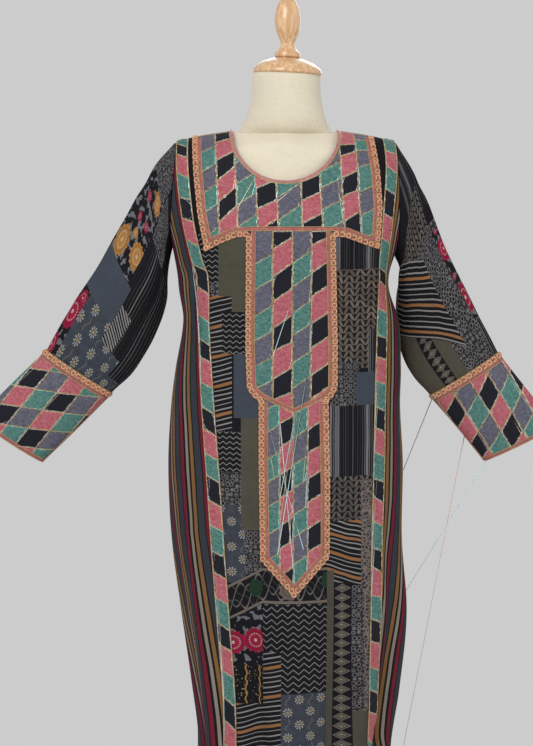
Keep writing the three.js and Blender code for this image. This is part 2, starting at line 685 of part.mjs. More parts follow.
// The binding: a narrow strip along the whole neckline, which runs on over the shoulder seams.
function neckBinding() {
  const half = (grid, drop, towards) => {
    const closed = grid.map((spots) =>
      spots.map(({ point, normal }) => ({
        point: Math.abs(point.y) < SEAM_GAP ? point.clone().setY(0) : point,
        normal,
      })),
    );
    const edge = (room) => {
      const arc = range(36).map((t) => ({
        x: NECKLINE.centre + (NECKLINE.halfWidth + room) * Math.cos(Math.PI * t),
        z: NECK_POINT_Z - (drop + room) * Math.sin(Math.PI * t),
      }));
      const above = [arc[0], arc[arc.length - 1]].map(({ x }) => ({ x, z: NECK_POINT_Z + 10 }));
      return [above[0], ...arc, above[1]];
    };
    const cutter = [edge(-6), edge(BINDING_WIDTH)].map((line) =>
      line.map(({ x, z }) => ({ point: new THREE.Vector3(x, 0, z), normal: towards })),
    );
    return solidOf(wall(closed, TRIM_LOW, TRIM_HIGH)).intersect(solidOf(wall(cutter, 0, 300)));
  };
  const front = half(panels.front, NECKLINE.frontDrop, new THREE.Vector3(0, -1, 0));
  const back = half(panels.back, NECKLINE.backDrop, new THREE.Vector3(0, 1, 0));
  return geometryOfSolid(front.add(back));
}

// ---------------------------------------------------------------- sleeves and cuffs
const AROUND = 20;

// A ring of a sleeve from a row of its table: an oval from its outer to its inner edge.
function sleeveRing(row) {
  const outer = new THREE.Vector3(row.outX, row.outY, row.outZ);
  const inner = new THREE.Vector3(row.inX, row.inY, row.inZ);
  const centre = outer.clone().add(inner).multiplyScalar(0.5);
  const across = outer.clone().sub(inner).multiplyScalar(0.5);
  const towards = new THREE.Vector3(Math.sign(row.outX), 0, -1);
  const depth = new THREE.Vector3().crossVectors(across, towards).normalize();
  if (depth.y > 0) depth.negate();
  return Array.from({ length: AROUND }, (_, i) => {
    const turn = (2 * Math.PI * i) / AROUND;
    const inPlane = centre.clone().addScaledVector(across, Math.cos(turn));
    return inPlane.addScaledVector(depth, row.half * Math.sin(turn));
  });
}

// The armhole's own ring, a little outside the body's edge.
function armholeRing(hole) {
  const room = WALL;
  return Array.from({ length: AROUND }, (_, i) => {
    const turn = (2 * Math.PI * i) / AROUND;
    const z = armholeMiddle(hole) + armholeHeight(hole) * Math.cos(turn);
    const toBack = Math.sin(turn) < 0;
    const theta = armholeAngle(hole, Math.max(z, hole.bottom + 0.01), toBack);
    const x = outline(theta, z).x + hole.side * room;
    return new THREE.Vector3(x, -hole.halfDepth * Math.sin(turn), z);
  });
}

// Soft folds along a sleeve, strongest half way down it.
function sleeveFold(turn, down) {
  const { depth, waves, twist } = SLEEVE_FOLD;
  return depth * Math.sin(Math.PI * down) * Math.sin(waves * turn + twist * Math.PI * down);
}

// A tube through rings, with normals from its neighbours, and folds where asked.
function tube(rings, folded, subdivide) {
  const curves = Array.from({ length: AROUND }, (_, i) => new THREE.CatmullRomCurve3(rings.map((r) => r[i])));
  const lines = curves.map((curve) => range(subdivide).map((t) => curve.getPoint(t)));
  const grid = lines.map((line, i) =>
    line.map((point, j) => {
      const next = lines[(i + 1) % AROUND][j];
      const before = lines[(i + AROUND - 1) % AROUND][j];
      const up = line[Math.max(j - 1, 0)];
      const down = line[Math.min(j + 1, line.length - 1)];
      const around = next.clone().sub(before);
      const normal = around.cross(down.clone().sub(up)).normalize();
      const middle = lines.reduce((sum, l) => sum.add(l[j]), new THREE.Vector3()).divideScalar(AROUND);
      if (normal.dot(point.clone().sub(middle)) < 0) normal.negate();
      const fold = folded ? sleeveFold((2 * Math.PI * i) / AROUND, j / subdivide) : 0;
      return { point: point.clone().addScaledVector(normal, fold), normal };
    }),
  );
  return grid;
}

function sleeveGrid(name) {
  return tube([armholeRing(ARMHOLES[name]), ...SLEEVE_RINGS[name].map(sleeveRing)], true, 11);
}

// Moves a row of a table along the line to the next one.
function slid(from, to, distance) {
  const length = Math.hypot(to.outX - from.outX, to.outZ - from.outZ);
  const t = distance / length;
  return Object.fromEntries(Object.keys(from).map((key) => [key, mix(from[key], to[key], t)]));
}

function cuffGrid(name) {
  const seam = SLEEVE_RINGS[name].at(-1);
  const [middle, hem] = CUFF_RINGS[name];
  return tube([slid(seam, middle, SEAM_GAP), middle, hem].map(sleeveRing), false, 3);
}

// The braid round the top of a cuff, on its outside.
function cuffBraid(name) {
  const seam = SLEEVE_RINGS[name].at(-1);
  const [middle] = CUFF_RINGS[name];
  const rows = [slid(seam, middle, 1), slid(seam, middle, 1 + BRAID_WIDTH)];
  return wall(tube(rows.map(sleeveRing), false, 1), TRIM_LOW, TRIM_HIGH, true);
}

// ---------------------------------------------------------------- the dress form
const FORM_AROUND = 28;

// How far a point of the form may stand out to the front or back at an x and z, below the cloth.
function roomUnderCloth(x, z, toBack) {
  const drop = ridgeZ(x) - WALL / 2 - SEAT_GAP - z;
  if (drop <= 0) return 0;
  const theta = angleOf(x, z, toBack);
  const roll = drop < SHOULDER_ROLL ? Math.sqrt(1 - (1 - drop / SHOULDER_ROLL) ** 2) : 1;
  const share = mix(FORM_SHARE.top, FORM_SHARE.below, Math.min(1, drop / FORM_SHARE.over));
  return Math.abs(outline(theta, z).y) * roll * share;
}

function dressForm() {
  // How far to a side the shoulders reach at a height, found by halving.
  const reach = (z, side) => {
    let [near, far] = [0, 300];
    for (let pass = 0; pass < 30; pass++) {
      const middle = (near + far) / 2;
      if (ridgeZ(side * middle) - WALL / 2 - SEAT_GAP > z) near = middle;
      else far = middle;
    }
    return near;
  };
  const rings = FORM_SECTIONS.map((row) =>
    Array.from({ length: FORM_AROUND }, (_, i) => {
      const turn = (2 * Math.PI * i) / FORM_AROUND;
      const [c, s] = [Math.cos(turn), Math.sin(turn)];
      const power = 2 / row.roundness;
      const widest = row.z < NECK_BASE_Z ? reach(row.z, Math.sign(c)) : Infinity;
      const width = Math.min(c > 0 ? row.right : row.left, widest);
      const x = width * signedPower(c, power);
      let depth = (s > 0 ? row.front : row.back) * Math.abs(signedPower(s, power));
      if (row.z < NECK_BASE_Z) depth = Math.min(depth, roomUnderCloth(x, row.z, s < 0));
      const share = Math.max(0, (row.z - CAP_TILT.from) / (NECK_TOP_Z - CAP_TILT.from));
      return new THREE.Vector3(x, -Math.sign(s) * depth, row.z - CAP_TILT.slope * share * x);
    }),
  );
  return loft(rings);
}

// A turned piece: radius and height pairs, from the axis and back to it, set upright.
function turned(profile, segments) {
  const points = profile.map(({ r, z }) => new THREE.Vector2(r, z));
  return new THREE.LatheGeometry(points, segments).rotateX(Math.PI / 2);
}

const CAP_TOP_Z = 1577;
const tilt = new THREE.Matrix4().makeShear(0, -CAP_TILT.slope, 0, 0, 0, 0);
const tilted = (geometry) => geometry.applyMatrix4(tilt);

function neckCap() {
  const low = NECK_TOP_Z + SEAM_GAP;
  const dome = [
    { r: 56.5, z: low },
    { r: 59, z: low + 2.5 },
    { r: 58, z: 1557 },
    { r: 52, z: 1563.5 },
    { r: 43, z: 1569 },
    { r: 32, z: 1573.5 },
    { r: 20, z: CAP_TOP_Z },
  ];
  return tilted(turned([{ r: 0, z: low }, ...dome, { r: 0, z: CAP_TOP_Z }], 32));
}

function finial() {
  const low = CAP_TOP_Z + SEAM_GAP;
  const profile = [
    { r: 0, z: low },
    { r: 21, z: low },
    { r: 22, z: low + 3 },
    { r: 21, z: 1586 },
    { r: 15, z: 1592 },
    { r: 11.5, z: 1600 },
    { r: 15, z: 1609 },
    { r: 20, z: 1622 },
    { r: 22.3, z: 1640 },
    { r: 20, z: 1657 },
    { r: 15.5, z: 1669 },
    { r: 11, z: 1677 },
    { r: 9.5, z: 1683 },
    { r: 7, z: 1689 },
    { r: 0, z: 1692 },
  ];
  return tilted(turned(profile, 20));
}

function pole() {
  const low = FOOT.thickness + SEAM_GAP;
  const high = TORSO_BOTTOM_Z - SEAM_GAP;
  return new THREE.CylinderGeometry(POLE_RADIUS, POLE_RADIUS, high - low, 20)
    .rotateX(Math.PI / 2)
    .translate(0, 0, (low + high) / 2);
}

function foot() {
  const { radius, thickness, edge } = FOOT;
  const profile = [
    { r: 0, z: 0 },
    { r: radius - edge, z: 0 },
    { r: radius, z: edge },
    { r: radius, z: thickness - edge },
    { r: radius - edge, z: thickness },
    { r: 0, z: thickness },
  ];
  return turned(profile, 40);
}

// ---------------------------------------------------------------- the object
const cloth = (color) => new THREE.MeshStandardMaterial({ color, roughness: 0.85, metalness: 0 });
const patchwork = cloth(0x3a3a3e);
const striped = cloth(0x2c2b2e);
const embroidered = cloth(0x7d8ea0);
const braid = cloth(0xd9a184);
const binding = cloth(0xb9707f);
const jersey = cloth(0xd2cdbd);
const beech = new THREE.MeshStandardMaterial({ color: 0xc8a077, roughness: 0.35, metalness: 0 });

const group = new THREE.Group();
function add(name, geometry, material) {
  const mesh = new THREE.Mesh(geometry, material);
  mesh.name = name;
  group.add(mesh);
}

add("form_torso", dressForm(), jersey);
add("neck_cap", neckCap(), beech);
add("finial", finial(), beech);
add("pole", pole(), beech);
add("foot", foot(), beech);

const clothWall = (grid, wrap) => wall(grid, -WALL / 2, WALL / 2, wrap);
add("front_panel", clothWall(panels.front), patchwork);
add("back_panel", clothWall(panels.back), patchwork);
add("side_front_left", clothWall(panels.sideFrontLeft), striped);
add("side_front_right", clothWall(panels.sideFrontRight), striped);
add("side_back_left", clothWall(panels.sideBackLeft), striped);
add("side_back_right", clothWall(panels.sideBackRight), striped);

for (const name of ["left", "right"]) {
  add(`sleeve_${name}`, clothWall(sleeveGrid(name), true), patchwork);
  add(`cuff_${name}`, clothWall(cuffGrid(name), true), embroidered);
  add(`cuff_braid_${name}`, cuffBraid(name), braid);
}

add("band_left", band(SEAM_ANGLES.frontLeft), embroidered);
add("band_right", band(SEAM_ANGLES.frontRight), embroidered);
add("yoke", yoke(), embroidered);
add("placket_upper", upperPlacket(), embroidered);
add("placket_lower", lowerPlacket(), embroidered);
add("braid_left", strip(BRAID_PATHS.left, -BRAID_WIDTH), braid);
add("braid_right", strip(BRAID_PATHS.right, BRAID_WIDTH), braid);
add("braid_lower", strip(BRAID_PATHS.lower, -BRAID_WIDTH), braid);
add("neck_binding", neckBinding(), binding);

export default group;
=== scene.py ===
"""A patchwork kandura on a dress form: cloth cut flat, laid over the form, and embroidered."""

import math
import random

import bmesh
import bpy
import numpy as np
from mathutils import Matrix, Vector


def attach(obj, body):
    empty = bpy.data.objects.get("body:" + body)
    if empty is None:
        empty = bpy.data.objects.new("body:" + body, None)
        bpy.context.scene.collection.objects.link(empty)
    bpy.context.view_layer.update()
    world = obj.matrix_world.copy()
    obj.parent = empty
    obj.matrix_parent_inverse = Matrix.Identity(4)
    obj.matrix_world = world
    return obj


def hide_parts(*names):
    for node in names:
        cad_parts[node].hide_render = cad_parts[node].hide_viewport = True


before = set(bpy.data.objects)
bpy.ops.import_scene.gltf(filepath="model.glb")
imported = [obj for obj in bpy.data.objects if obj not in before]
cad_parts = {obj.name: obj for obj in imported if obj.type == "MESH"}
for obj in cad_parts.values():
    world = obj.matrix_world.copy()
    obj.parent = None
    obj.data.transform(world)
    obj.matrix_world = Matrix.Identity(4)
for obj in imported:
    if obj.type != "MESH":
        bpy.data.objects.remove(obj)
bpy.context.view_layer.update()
MM = 0.001

# ---------------------------------------------------------------- camera, light and floor
camera = bpy.data.objects.new("camera", bpy.data.cameras.new("camera"))
bpy.context.scene.collection.objects.link(camera)
camera.location = (-0.036, -2.800, 1.3782)
camera.rotation_euler = (math.radians(83), 0, 0)
camera.data.sensor_width = 36
camera.data.lens = 77.8
bpy.context.scene.camera = camera


def soft_light(name, place, target, size, power, colour=(1, 1, 1)):
    lamp = bpy.data.lights.new(name, "AREA")
    lamp.size = size
    lamp.energy = power
    lamp.color = colour
    light = bpy.data.objects.new(name, lamp)
    light.location = place
    light.rotation_euler = (Vector(target) - Vector(place)).to_track_quat("-Z", "Y").to_euler()
    bpy.context.scene.collection.objects.link(light)


soft_light("key_light", (-1.3, -2.6, 2.9), (0, 0, 1.1), 1.5, 46)
soft_light("fill_light", (1.9, -2.4, 1.7), (0, 0, 1.0), 1.8, 20)
soft_light("back_light", (0.4, 2.4, 2.4), (0, 0, 1.2), 1.6, 16)

world = bpy.data.worlds.new("studio")
world.use_nodes = True
world.node_tree.nodes["Background"].inputs["Color"].default_value = (0.604, 0.604, 0.604, 1)
world.node_tree.nodes["Background"].inputs["Strength"].default_value = 1.0
bpy.context.scene.world = world
bpy.context.scene.view_settings.view_transform = "Standard"

# ---------------------------------------------------------------- the garment's surface, in millimetres
NECK_POINT_Z = 1453
HEM_Z = 53
SHOULDER_ROLL = 80
ROLL_ARC = 126
NECK_CENTRE = -4
NECK_HALF_WIDTH = 90
NECK_FRONT_DROP = 85
NECK_BACK_DROP = 20
WALL = 1.6
TRIM = 1.2
TRIM_LIFT = 1.7
ROUNDNESS = 2.2
# how much cloth goes over the shoulder's ridge, above the ridge's own height
OVER_RIDGE = 46

# z, half-width left and right, depth in front and behind
BODY_SECTIONS = np.array(
    [
        (40, 172, 182, 168, 172),
        (200, 162, 176, 160, 162),
        (369, 157, 177, 152, 152),
        (480, 169, 194, 146, 146),
        (613, 187, 208, 139, 138),
        (743, 203, 201, 132, 130),
        (873, 208, 203, 125, 123),
        (980, 202, 197, 121, 113),
        (1043, 194, 198, 120, 105),
        (1127, 180, 193, 121, 98),
        (1180, 187, 176, 124, 99),
        (1211, 190, 176, 126, 101),
        (1250, 197, 188, 127, 103),
        (1290, 206, 198, 124, 105),
        (1340, 213, 205, 106, 104),
        (1400, 212, 207, 92, 94),
        (1470, 206, 204, 86, 84),
    ],
    float,
)
# z, princess seams from the middle: front left, front right, back
SEAMS = np.array(
    [
        (40, 106, 150, 118),
        (250, 100, 145, 112),
        (454, 98, 146, 112),
        (633, 110, 151, 117),
        (742, 118, 152, 120),
        (865, 126, 155, 122),
        (1009, 136, 157, 122),
        (1122, 141, 159, 124),
        (1211, 143, 160, 135),
        (1236, 152, 161, 140),
        (1308, 168, 168, 148),
        (1395, 178, 175, 150),
        (1470, 180, 170, 150),
    ],
    float,
)
# angle, half angle, where the fold starts, how far it stands out at the hem
FOLDS = [
    (14, 13, 860, 13),
    (30, 9, 820, -19),
    (51, 10, 720, 9),
    (67, 11, 860, -14),
    (90, 14, 760, 15),
    (108, 11, 780, -17),
    (139, 13, 800, 20),
    (163, 12, 860, -13),
    (200, 15, 900, 14),
    (224, 13, 860, -16),
    (247, 14, 780, 13),
    (270, 13, 900, -17),
    (293, 14, 780, 14),
    (317, 13, 860, -16),
    (341, 13, 900, 12),
]
ARMHOLES = {"left": (-1, 1433, 1254, 47), "right": (1, 1433, 1240, 47)}


def column(rows, key):
    """A smooth curve through one column of a table, as a function of z."""
    heights, values = rows[:, 0], rows[:, key]

    def at(z):
        z = np.clip(np.asarray(z, float), heights[0], heights[-1])
        i = np.clip(np.searchsorted(heights, z) - 1, 0, len(heights) - 2)
        before, after = np.maximum(i - 1, 0), np.minimum(i + 2, len(heights) - 1)
        span = heights[i + 1] - heights[i]
        slope_a = (values[i + 1] - values[before]) / np.maximum(heights[i + 1] - heights[before], span)
        slope_b = (values[after] - values[i]) / np.maximum(heights[after] - heights[i], span)
        t = (z - heights[i]) / span
        bend = t * (1 - t) * ((1 - t) * slope_a - t * slope_b) * span
        return values[i] + (values[i + 1] - values[i]) * t * t * (3 - 2 * t) + bend

    return at


left_width, right_width, front_depth, back_depth = (column(BODY_SECTIONS, key) for key in (1, 2, 3, 4))
seam_front_left, seam_front_right, seam_back = (column(SEAMS, key) for key in (1, 2, 3))


def ridge(x):
    beyond = np.abs(x - NECK_CENTRE) - NECK_HALF_WIDTH
    return NECK_POINT_Z - 0.14 * beyond - 7 * (np.maximum(beyond, 0) / 100) ** 4


def fold_depth(theta, z):
    degrees = np.degrees(theta) % 360
    total = np.zeros(np.broadcast(theta, z).shape)
    for at, half, top, hem in FOLDS:
        off = np.abs((degrees - at + 540) % 360 - 180) / half
        down = np.clip((top - z) / (top - HEM_Z), 0, None)
        shape = np.cos(np.minimum(off, 1) * math.pi / 2) ** 2
        total = total + np.where(off < 1, hem * down * (2 - down) * shape, 0)
    return total


def level_outline(theta, z):
    c, s = np.cos(theta), np.sin(theta)
    fold = fold_depth(theta, z)
    width = np.where(c > 0, right_width(z), left_width(z))
    depth = np.where(s > 0, front_depth(z), back_depth(z))
    power = 2 / ROUNDNESS
    x = width * np.sign(c) * np.abs(c) ** power + fold * c
    y = -depth * np.sign(s) * np.abs(s) ** power - fold * s
    return x, y


def angle_of(x, z, behind=False):
    wanted = np.array(x, float)
    for _ in range(3):
        width = np.where(wanted > 0, right_width(z), left_width(z))
        turn = np.arccos(np.minimum(1, np.abs(wanted) / width) ** (ROUNDNESS / 2))
        theta = np.where(wanted > 0, turn, math.pi - turn)
        if behind:
            theta = 2 * math.pi - theta
        wanted = wanted + x - level_outline(theta, z)[0]
    return theta


# A place on the cloth is (x, w): x as seen from the front before the skirt folds, and w the height it
# would have if the cloth hung straight from the shoulder. Below the shoulder's rounding w is the real height.
def plain_angle(x, z, behind=False):
    width = np.where(x > 0, right_width(z), left_width(z))
    turn = np.arccos(np.minimum(1, np.abs(x) / width) ** (ROUNDNESS / 2))
    theta = np.where(x > 0, turn, math.pi - turn)
    return 2 * math.pi - theta if behind else theta


def plain_x(theta, z):
    c = np.cos(theta)
    return np.where(c > 0, right_width(z), left_width(z)) * np.sign(c) * np.abs(c) ** (2 / ROUNDNESS)


def roll_at(x, w):
    down = np.maximum(ridge(x) + OVER_RIDGE - w, 0)
    phi = np.minimum(down / ROLL_ARC, 1) * math.pi / 2
    z = ridge(x) - SHOULDER_ROLL * (1 - np.cos(phi)) - np.maximum(down - ROLL_ARC, 0)
    return z, phi


def cloth_height(x, z):
    drop = np.maximum(ridge(x) - z, 0)
    rolled = ROLL_ARC * np.arccos(np.clip(1 - drop / SHOULDER_ROLL, -1, 1)) / (math.pi / 2)
    return ridge(x) + OVER_RIDGE - np.where(drop >= SHOULDER_ROLL, ROLL_ARC + drop - SHOULDER_ROLL, rolled)


def centre_spot(x, w, behind):
    z, phi = roll_at(x, w)
    out_x, out_y = level_outline(plain_angle(x, z, behind), z)
    return np.stack([out_x, out_y * np.sin(phi), z], -1)


def lay_centre(lift=0.0, behind=False):
    """Lays flat cloth over the middle of the front or the back, lifted off its surface."""

    def place(flat):
        x, w = flat[:, 0], np.minimum(flat[:, 1], ridge(flat[:, 0]) + OVER_RIDGE)
        spots = centre_spot(x, w, behind)
        inner = np.minimum(w, ridge(x) + OVER_RIDGE - 2)
        across = centre_spot(x + 1, inner, behind) - centre_spot(x - 1, inner, behind)
        up = centre_spot(x, inner + 1, behind) - centre_spot(x, inner - 1, behind)
        normal = np.cross(across, up) * (-1 if behind else 1)
        normal /= np.linalg.norm(normal, axis=1)[:, None]
        return spots + normal * lift, normal

    return place


def body_spot(theta, down):
    """A place by its angle round the body and its distance down from the shoulder ridge."""
    phi = np.minimum(down / ROLL_ARC, 1) * math.pi / 2
    below = np.maximum(down - ROLL_ARC, 0)
    z = NECK_POINT_Z - SHOULDER_ROLL * (1 - np.cos(phi)) - below
    for _ in range(5):
        x, y = level_outline(theta, z)
        z = ridge(x) - SHOULDER_ROLL * (1 - np.cos(phi)) - below
    return np.stack([x, y * np.sin(phi), z], -1)


def armhole_angle(hole, z, behind):
    side, top, bottom, half_depth = hole
    share = (z - (top + bottom) / 2) / ((top - bottom) / 2)
    depth = half_depth * np.sqrt(np.clip(1 - share * share, 0, 1))
    near, far = np.zeros_like(z), np.full_like(z, math.radians(65))

    def angle(turn):
        theta = turn if side > 0 else math.pi - turn
        return -theta if behind else theta

    for _ in range(26):
        turn = (near + far) / 2
        x, y = level_outline(angle(turn), z)
        drop = np.maximum(ridge(x) - z, 0)
        roll = np.where(drop < SHOULDER_ROLL, np.sqrt(1 - np.clip(1 - drop / SHOULDER_ROLL, 0, 1) ** 2), 1)
        inside = (ridge(x) < z) | (np.abs(y) * roll <= depth)
        near, far = np.where(inside, turn, near), np.where(inside, far, turn)
    return angle((near + far) / 2)


def side_table(seam, hole, behind, columns=26, rows=280):
    """Places of a side panel from its princess seam to the side seam and the armhole, top to hem."""
    side, top, bottom, _ = hole
    seam_angle = lambda z: angle_of(seam(z), z, behind)
    side_angle = 0.0 if side > 0 else math.pi
    if behind and side > 0:
        side_angle = 2 * math.pi

    def edge_angle(z):
        level = np.clip(z, bottom + 0.001, top)
        edge = armhole_angle(hole, level, behind) + (2 * math.pi if behind else 0)
        return np.where(z > bottom, edge, side_angle)

    share = np.linspace(0, 1, columns + 1)[:, None]
    hem = np.full_like(share, HEM_Z)
    hem_angle = seam_angle(hem) * (1 - share) + side_angle * share
    hem_down = ROLL_ARC + ridge(level_outline(hem_angle, hem)[0]) - HEM_Z - SHOULDER_ROLL
    down = np.linspace(0, 1, rows + 1)[None, :] * hem_down
    z = NECK_POINT_Z - down
    for _ in range(7):
        theta = seam_angle(z) * (1 - share) + edge_angle(z) * share
        spots = body_spot(theta, down)
        z = spots[..., 2]
    return spots


# ---------------------------------------------------------------- sleeves, in millimetres
# outer edge x, y, z, inner edge x, y, z, half thickness
SLEEVE_RINGS = {
    "left": [
        (-223, 0, 1397, -204, 0, 1228, 42),
        (-246, 0, 1356, -208, 2, 1183, 38),
        (-272, 0, 1315, -214, 3, 1146, 35),
        (-304, 0, 1267, -231, 3, 1106, 32),
        (-337, 0, 1211, -254, 2, 1064, 29),
        (-375, 0, 1152, -278, 0, 1029, 25),
        (-419, 0, 1075, -307, 0, 1001, 20),
    ],
    "right": [
        (212, 0, 1388, 196, 10, 1216, 40),
        (231, 0, 1346, 194, 30, 1180, 36),
        (252, 0, 1301, 193, 42, 1136, 33),
        (275, 0, 1253, 199, 40, 1090, 30),
        (304, 0, 1197, 213, 30, 1049, 28),
        (336, 0, 1131, 232, 14, 1018, 25),
        (367, 0, 1071, 251, 4, 996, 20),
    ],
}
CUFF_RINGS = {
    "left": [(-482, 0, 1015, -369, 0, 939, 19), (-544, 0, 953, -432, 0, 878, 18)],
    "right": [(419, 0, 1006, 301, 2, 939, 19), (471, 0, 941, 349, 0, 880, 18)],
}


def sleeve_ring(row, turns):
    outer, inner, half = Vector(row[:3]), Vector(row[3:6]), row[6]
    across = (outer - inner) / 2
    depth = across.cross(Vector((math.copysign(1, row[0]), 0, -1))).normalized()
    if depth.y > 0:
        depth.negate()
    middle, across, depth = np.array((outer + inner) / 2), np.array(across), np.array(depth)
    return middle + np.cos(turns)[:, None] * across + half * np.sin(turns)[:, None] * depth


def armhole_ring(hole, turns):
    side, top, bottom, half_depth = hole
    z = (top + bottom) / 2 + (top - bottom) / 2 * np.cos(turns)
    level = np.maximum(z, bottom + 0.01)
    theta = np.where(np.sin(turns) < 0, armhole_angle(hole, level, True), armhole_angle(hole, level, False))
    return np.stack([level_outline(theta, level)[0] + side * WALL, -half_depth * np.sin(turns), z], -1)


def along_rings(rings, t):
    """Centripetal Catmull-Rom curves through the same point of every ring."""
    last = len(rings) - 1
    place = t * last
    i = min(int(place), last - 1)
    weight = place - i
    before = rings[i - 1] if i > 0 else 2 * rings[0] - rings[1]
    a, b = rings[i], rings[i + 1]
    after = rings[i + 2] if i + 2 <= last else 2 * rings[last] - rings[last - 1]
    gap = lambda p, q: np.maximum(np.sum((p - q) ** 2, axis=1) ** 0.25, 1e-4)[:, None]
    g0, g1, g2 = gap(before, a), gap(a, b), gap(b, after)
    t1 = ((a - before) / g0 - (b - before) / (g0 + g1) + (b - a) / g1) * g1
    t2 = ((b - a) / g1 - (after - a) / (g1 + g2) + (after - b) / g2) * g1
    square, cube = -3 * a + 3 * b - 2 * t1 - t2, 2 * a - 2 * b + t1 + t2
    return a + t1 * weight + square * weight**2 + cube * weight**3


def tube_table(rings, turns, rows, creases=None):
    lines = np.stack([along_rings(rings, t) for t in np.linspace(0, 1, rows + 1)], 1)
    around = np.roll(lines[:-1], -1, 0) - np.roll(lines[:-1], 1, 0)
    around = np.concatenate([around, around[:1]])
    down = np.gradient(lines, axis=1)
    normal = np.cross(around, down)
    normal /= np.linalg.norm(normal, axis=2)[..., None]
    middle = lines[:-1].mean(0)
    if np.sum(normal * (lines - middle)) < 0:
        normal = -normal
    if creases:
        share = np.linspace(0, 1, rows + 1)[None, :]
        lines = lines + normal * creases(turns[:, None], share)[..., None]
    return lines, normal


def sleeve_creases(turn, down):
    soft = 4 * np.sin(math.pi * down) * np.sin(3 * turn + 2.2 * math.pi * down)
    fine = 1.1 * np.sin(math.pi * down) * np.sin(7 * turn - 9 * down + 1.5 * np.sin(11 * down))
    return soft + fine


def between_rows(row, following, distance):
    length = math.hypot(following[0] - row[0], following[2] - row[2])
    return tuple(a + (b - a) * distance / length for a, b in zip(row, following))


def lay_table(table, width, length, normals=None, lift=0.0):
    """Lays flat cloth over a table of places: flat x runs along its columns and flat y down its rows."""
    columns, rows = table.shape[0] - 1, table.shape[1] - 1
    if normals is None:
        normals = np.cross(np.gradient(table, axis=0), np.gradient(table, axis=1))
        normals /= np.linalg.norm(normals, axis=2)[..., None]
        if np.sum(normals[..., :2] * table[..., :2]) < 0:
            normals = -normals

    def place(flat):
        i = np.clip(flat[:, 0] / width, 0, 1) * columns
        j = np.clip(-flat[:, 1] / length, 0, 1) * rows
        i0, j0 = np.minimum(i.astype(int), columns - 1), np.minimum(j.astype(int), rows - 1)
        a, b = (i - i0)[:, None], (j - j0)[:, None]

        def blend(grid):
            upper = grid[i0, j0] * (1 - a) + grid[i0 + 1, j0] * a
            lower = grid[i0, j0 + 1] * (1 - a) + grid[i0 + 1, j0 + 1] * a
            return upper * (1 - b) + lower * b

        normal = blend(normals)
        normal /= np.linalg.norm(normal, axis=1)[:, None]
        return blend(table) + normal * lift, normal

    return place


# ---------------------------------------------------------------- cutting flat cloth
def cut_flat(points):
    """Flat cloth from its outline, in millimetres."""
    bm = bmesh.new()
    bm.faces.new([bm.verts.new((x, y, 0)) for x, y in points])
    return bm


def crease_line(bm, point, direction, faces=None):
    """Divides the cloth, or some of its faces, along a straight line."""
    if faces is None:
        parts = bm.verts[:] + bm.edges[:] + bm.faces[:]
    else:
        parts = list({part for face in faces for part in (*face.verts, *face.edges)}) + list(faces)
    across = Vector((direction[1], -direction[0], 0)).normalized()
    bmesh.ops.bisect_plane(bm, geom=parts, dist=0.001, plane_co=(*point, 0), plane_no=across)


def crease_grid(bm, step):
    """Divides the cloth into small squares, so that it can bend."""
    xs, ys = [v.co.x for v in bm.verts], [v.co.y for v in bm.verts]
    for x in np.arange(min(xs) + step * 0.53, max(xs), step):
        crease_line(bm, (x, 0), (0, 1))
    for y in np.arange(min(ys) + step * 0.53, max(ys), step):
        crease_line(bm, (0, y), (1, 0))


def crease_columns(bm, columns, rows):
    """As crease_grid, with a number of even columns and rows."""
    xs, ys = [v.co.x for v in bm.verts], [v.co.y for v in bm.verts]
    for x in np.linspace(min(xs), max(xs), columns + 1)[1:-1]:
        crease_line(bm, (x, 0), (0, 1))
    for y in np.linspace(min(ys), max(ys), rows + 1)[1:-1]:
        crease_line(bm, (0, y), (1, 0))


def centre_of(face):
    middle = face.calc_center_median()
    return middle.x, middle.y


def lay(bm, place, cloth_map=None):
    """Gives the cloth its map in metres, and moves it to its place on the form, padded as it lies flat."""
    layer = bm.loops.layers.uv.new("cloth")
    bm.verts.index_update()
    flat = np.array([v.co[:2] for v in bm.verts])
    padding = np.abs(np.array([v.co.z for v in bm.verts]))
    spread = flat if cloth_map is None else cloth_map(flat)
    for face in bm.faces:
        for loop in face.loops:
            loop[layer].uv = spread[loop.vert.index] * MM
    spots, normals = place(flat)
    spots = spots + normals * padding[:, None]
    for vert, spot in zip(bm.verts, spots):
        vert.co = spot * MM
    bm.normal_update()
    facing = sum(f.normal.dot(Vector(normals[f.verts[0].index])) * f.calc_area() for f in bm.faces)
    if facing < 0:
        bmesh.ops.reverse_faces(bm, faces=bm.faces[:])


def to_object(bm, name, materials):
    mesh = bpy.data.meshes.new(name)
    for face in bm.faces:
        face.smooth = True
    bm.to_mesh(mesh)
    bm.free()
    for material in materials:
        mesh.materials.append(material)
    piece = bpy.data.objects.new(name, mesh)
    bpy.context.scene.collection.objects.link(piece)
    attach(piece, "root")
    return piece


def give_thickness(piece, thickness):
    wall = piece.modifiers.new("thickness", "SOLIDIFY")
    wall.thickness = thickness * MM
    wall.offset = 0
    return piece


def copies(unit, places):
    """One mesh of many copies of a small one, each with its own place."""
    start = [v.co.copy() for v in unit.verts]
    while len(unit.verts) < len(start) * len(places):
        bmesh.ops.duplicate(unit, geom=unit.verts[:] + unit.edges[:] + unit.faces[:])
    unit.verts.ensure_lookup_table()
    verts = list(unit.verts)
    for k, place in enumerate(places):
        for vert, co in zip(verts[k * len(start) :], start):
            vert.co = place @ co
    bmesh.ops.delete(unit, geom=verts[len(start) * len(places) :], context="VERTS")
    return unit


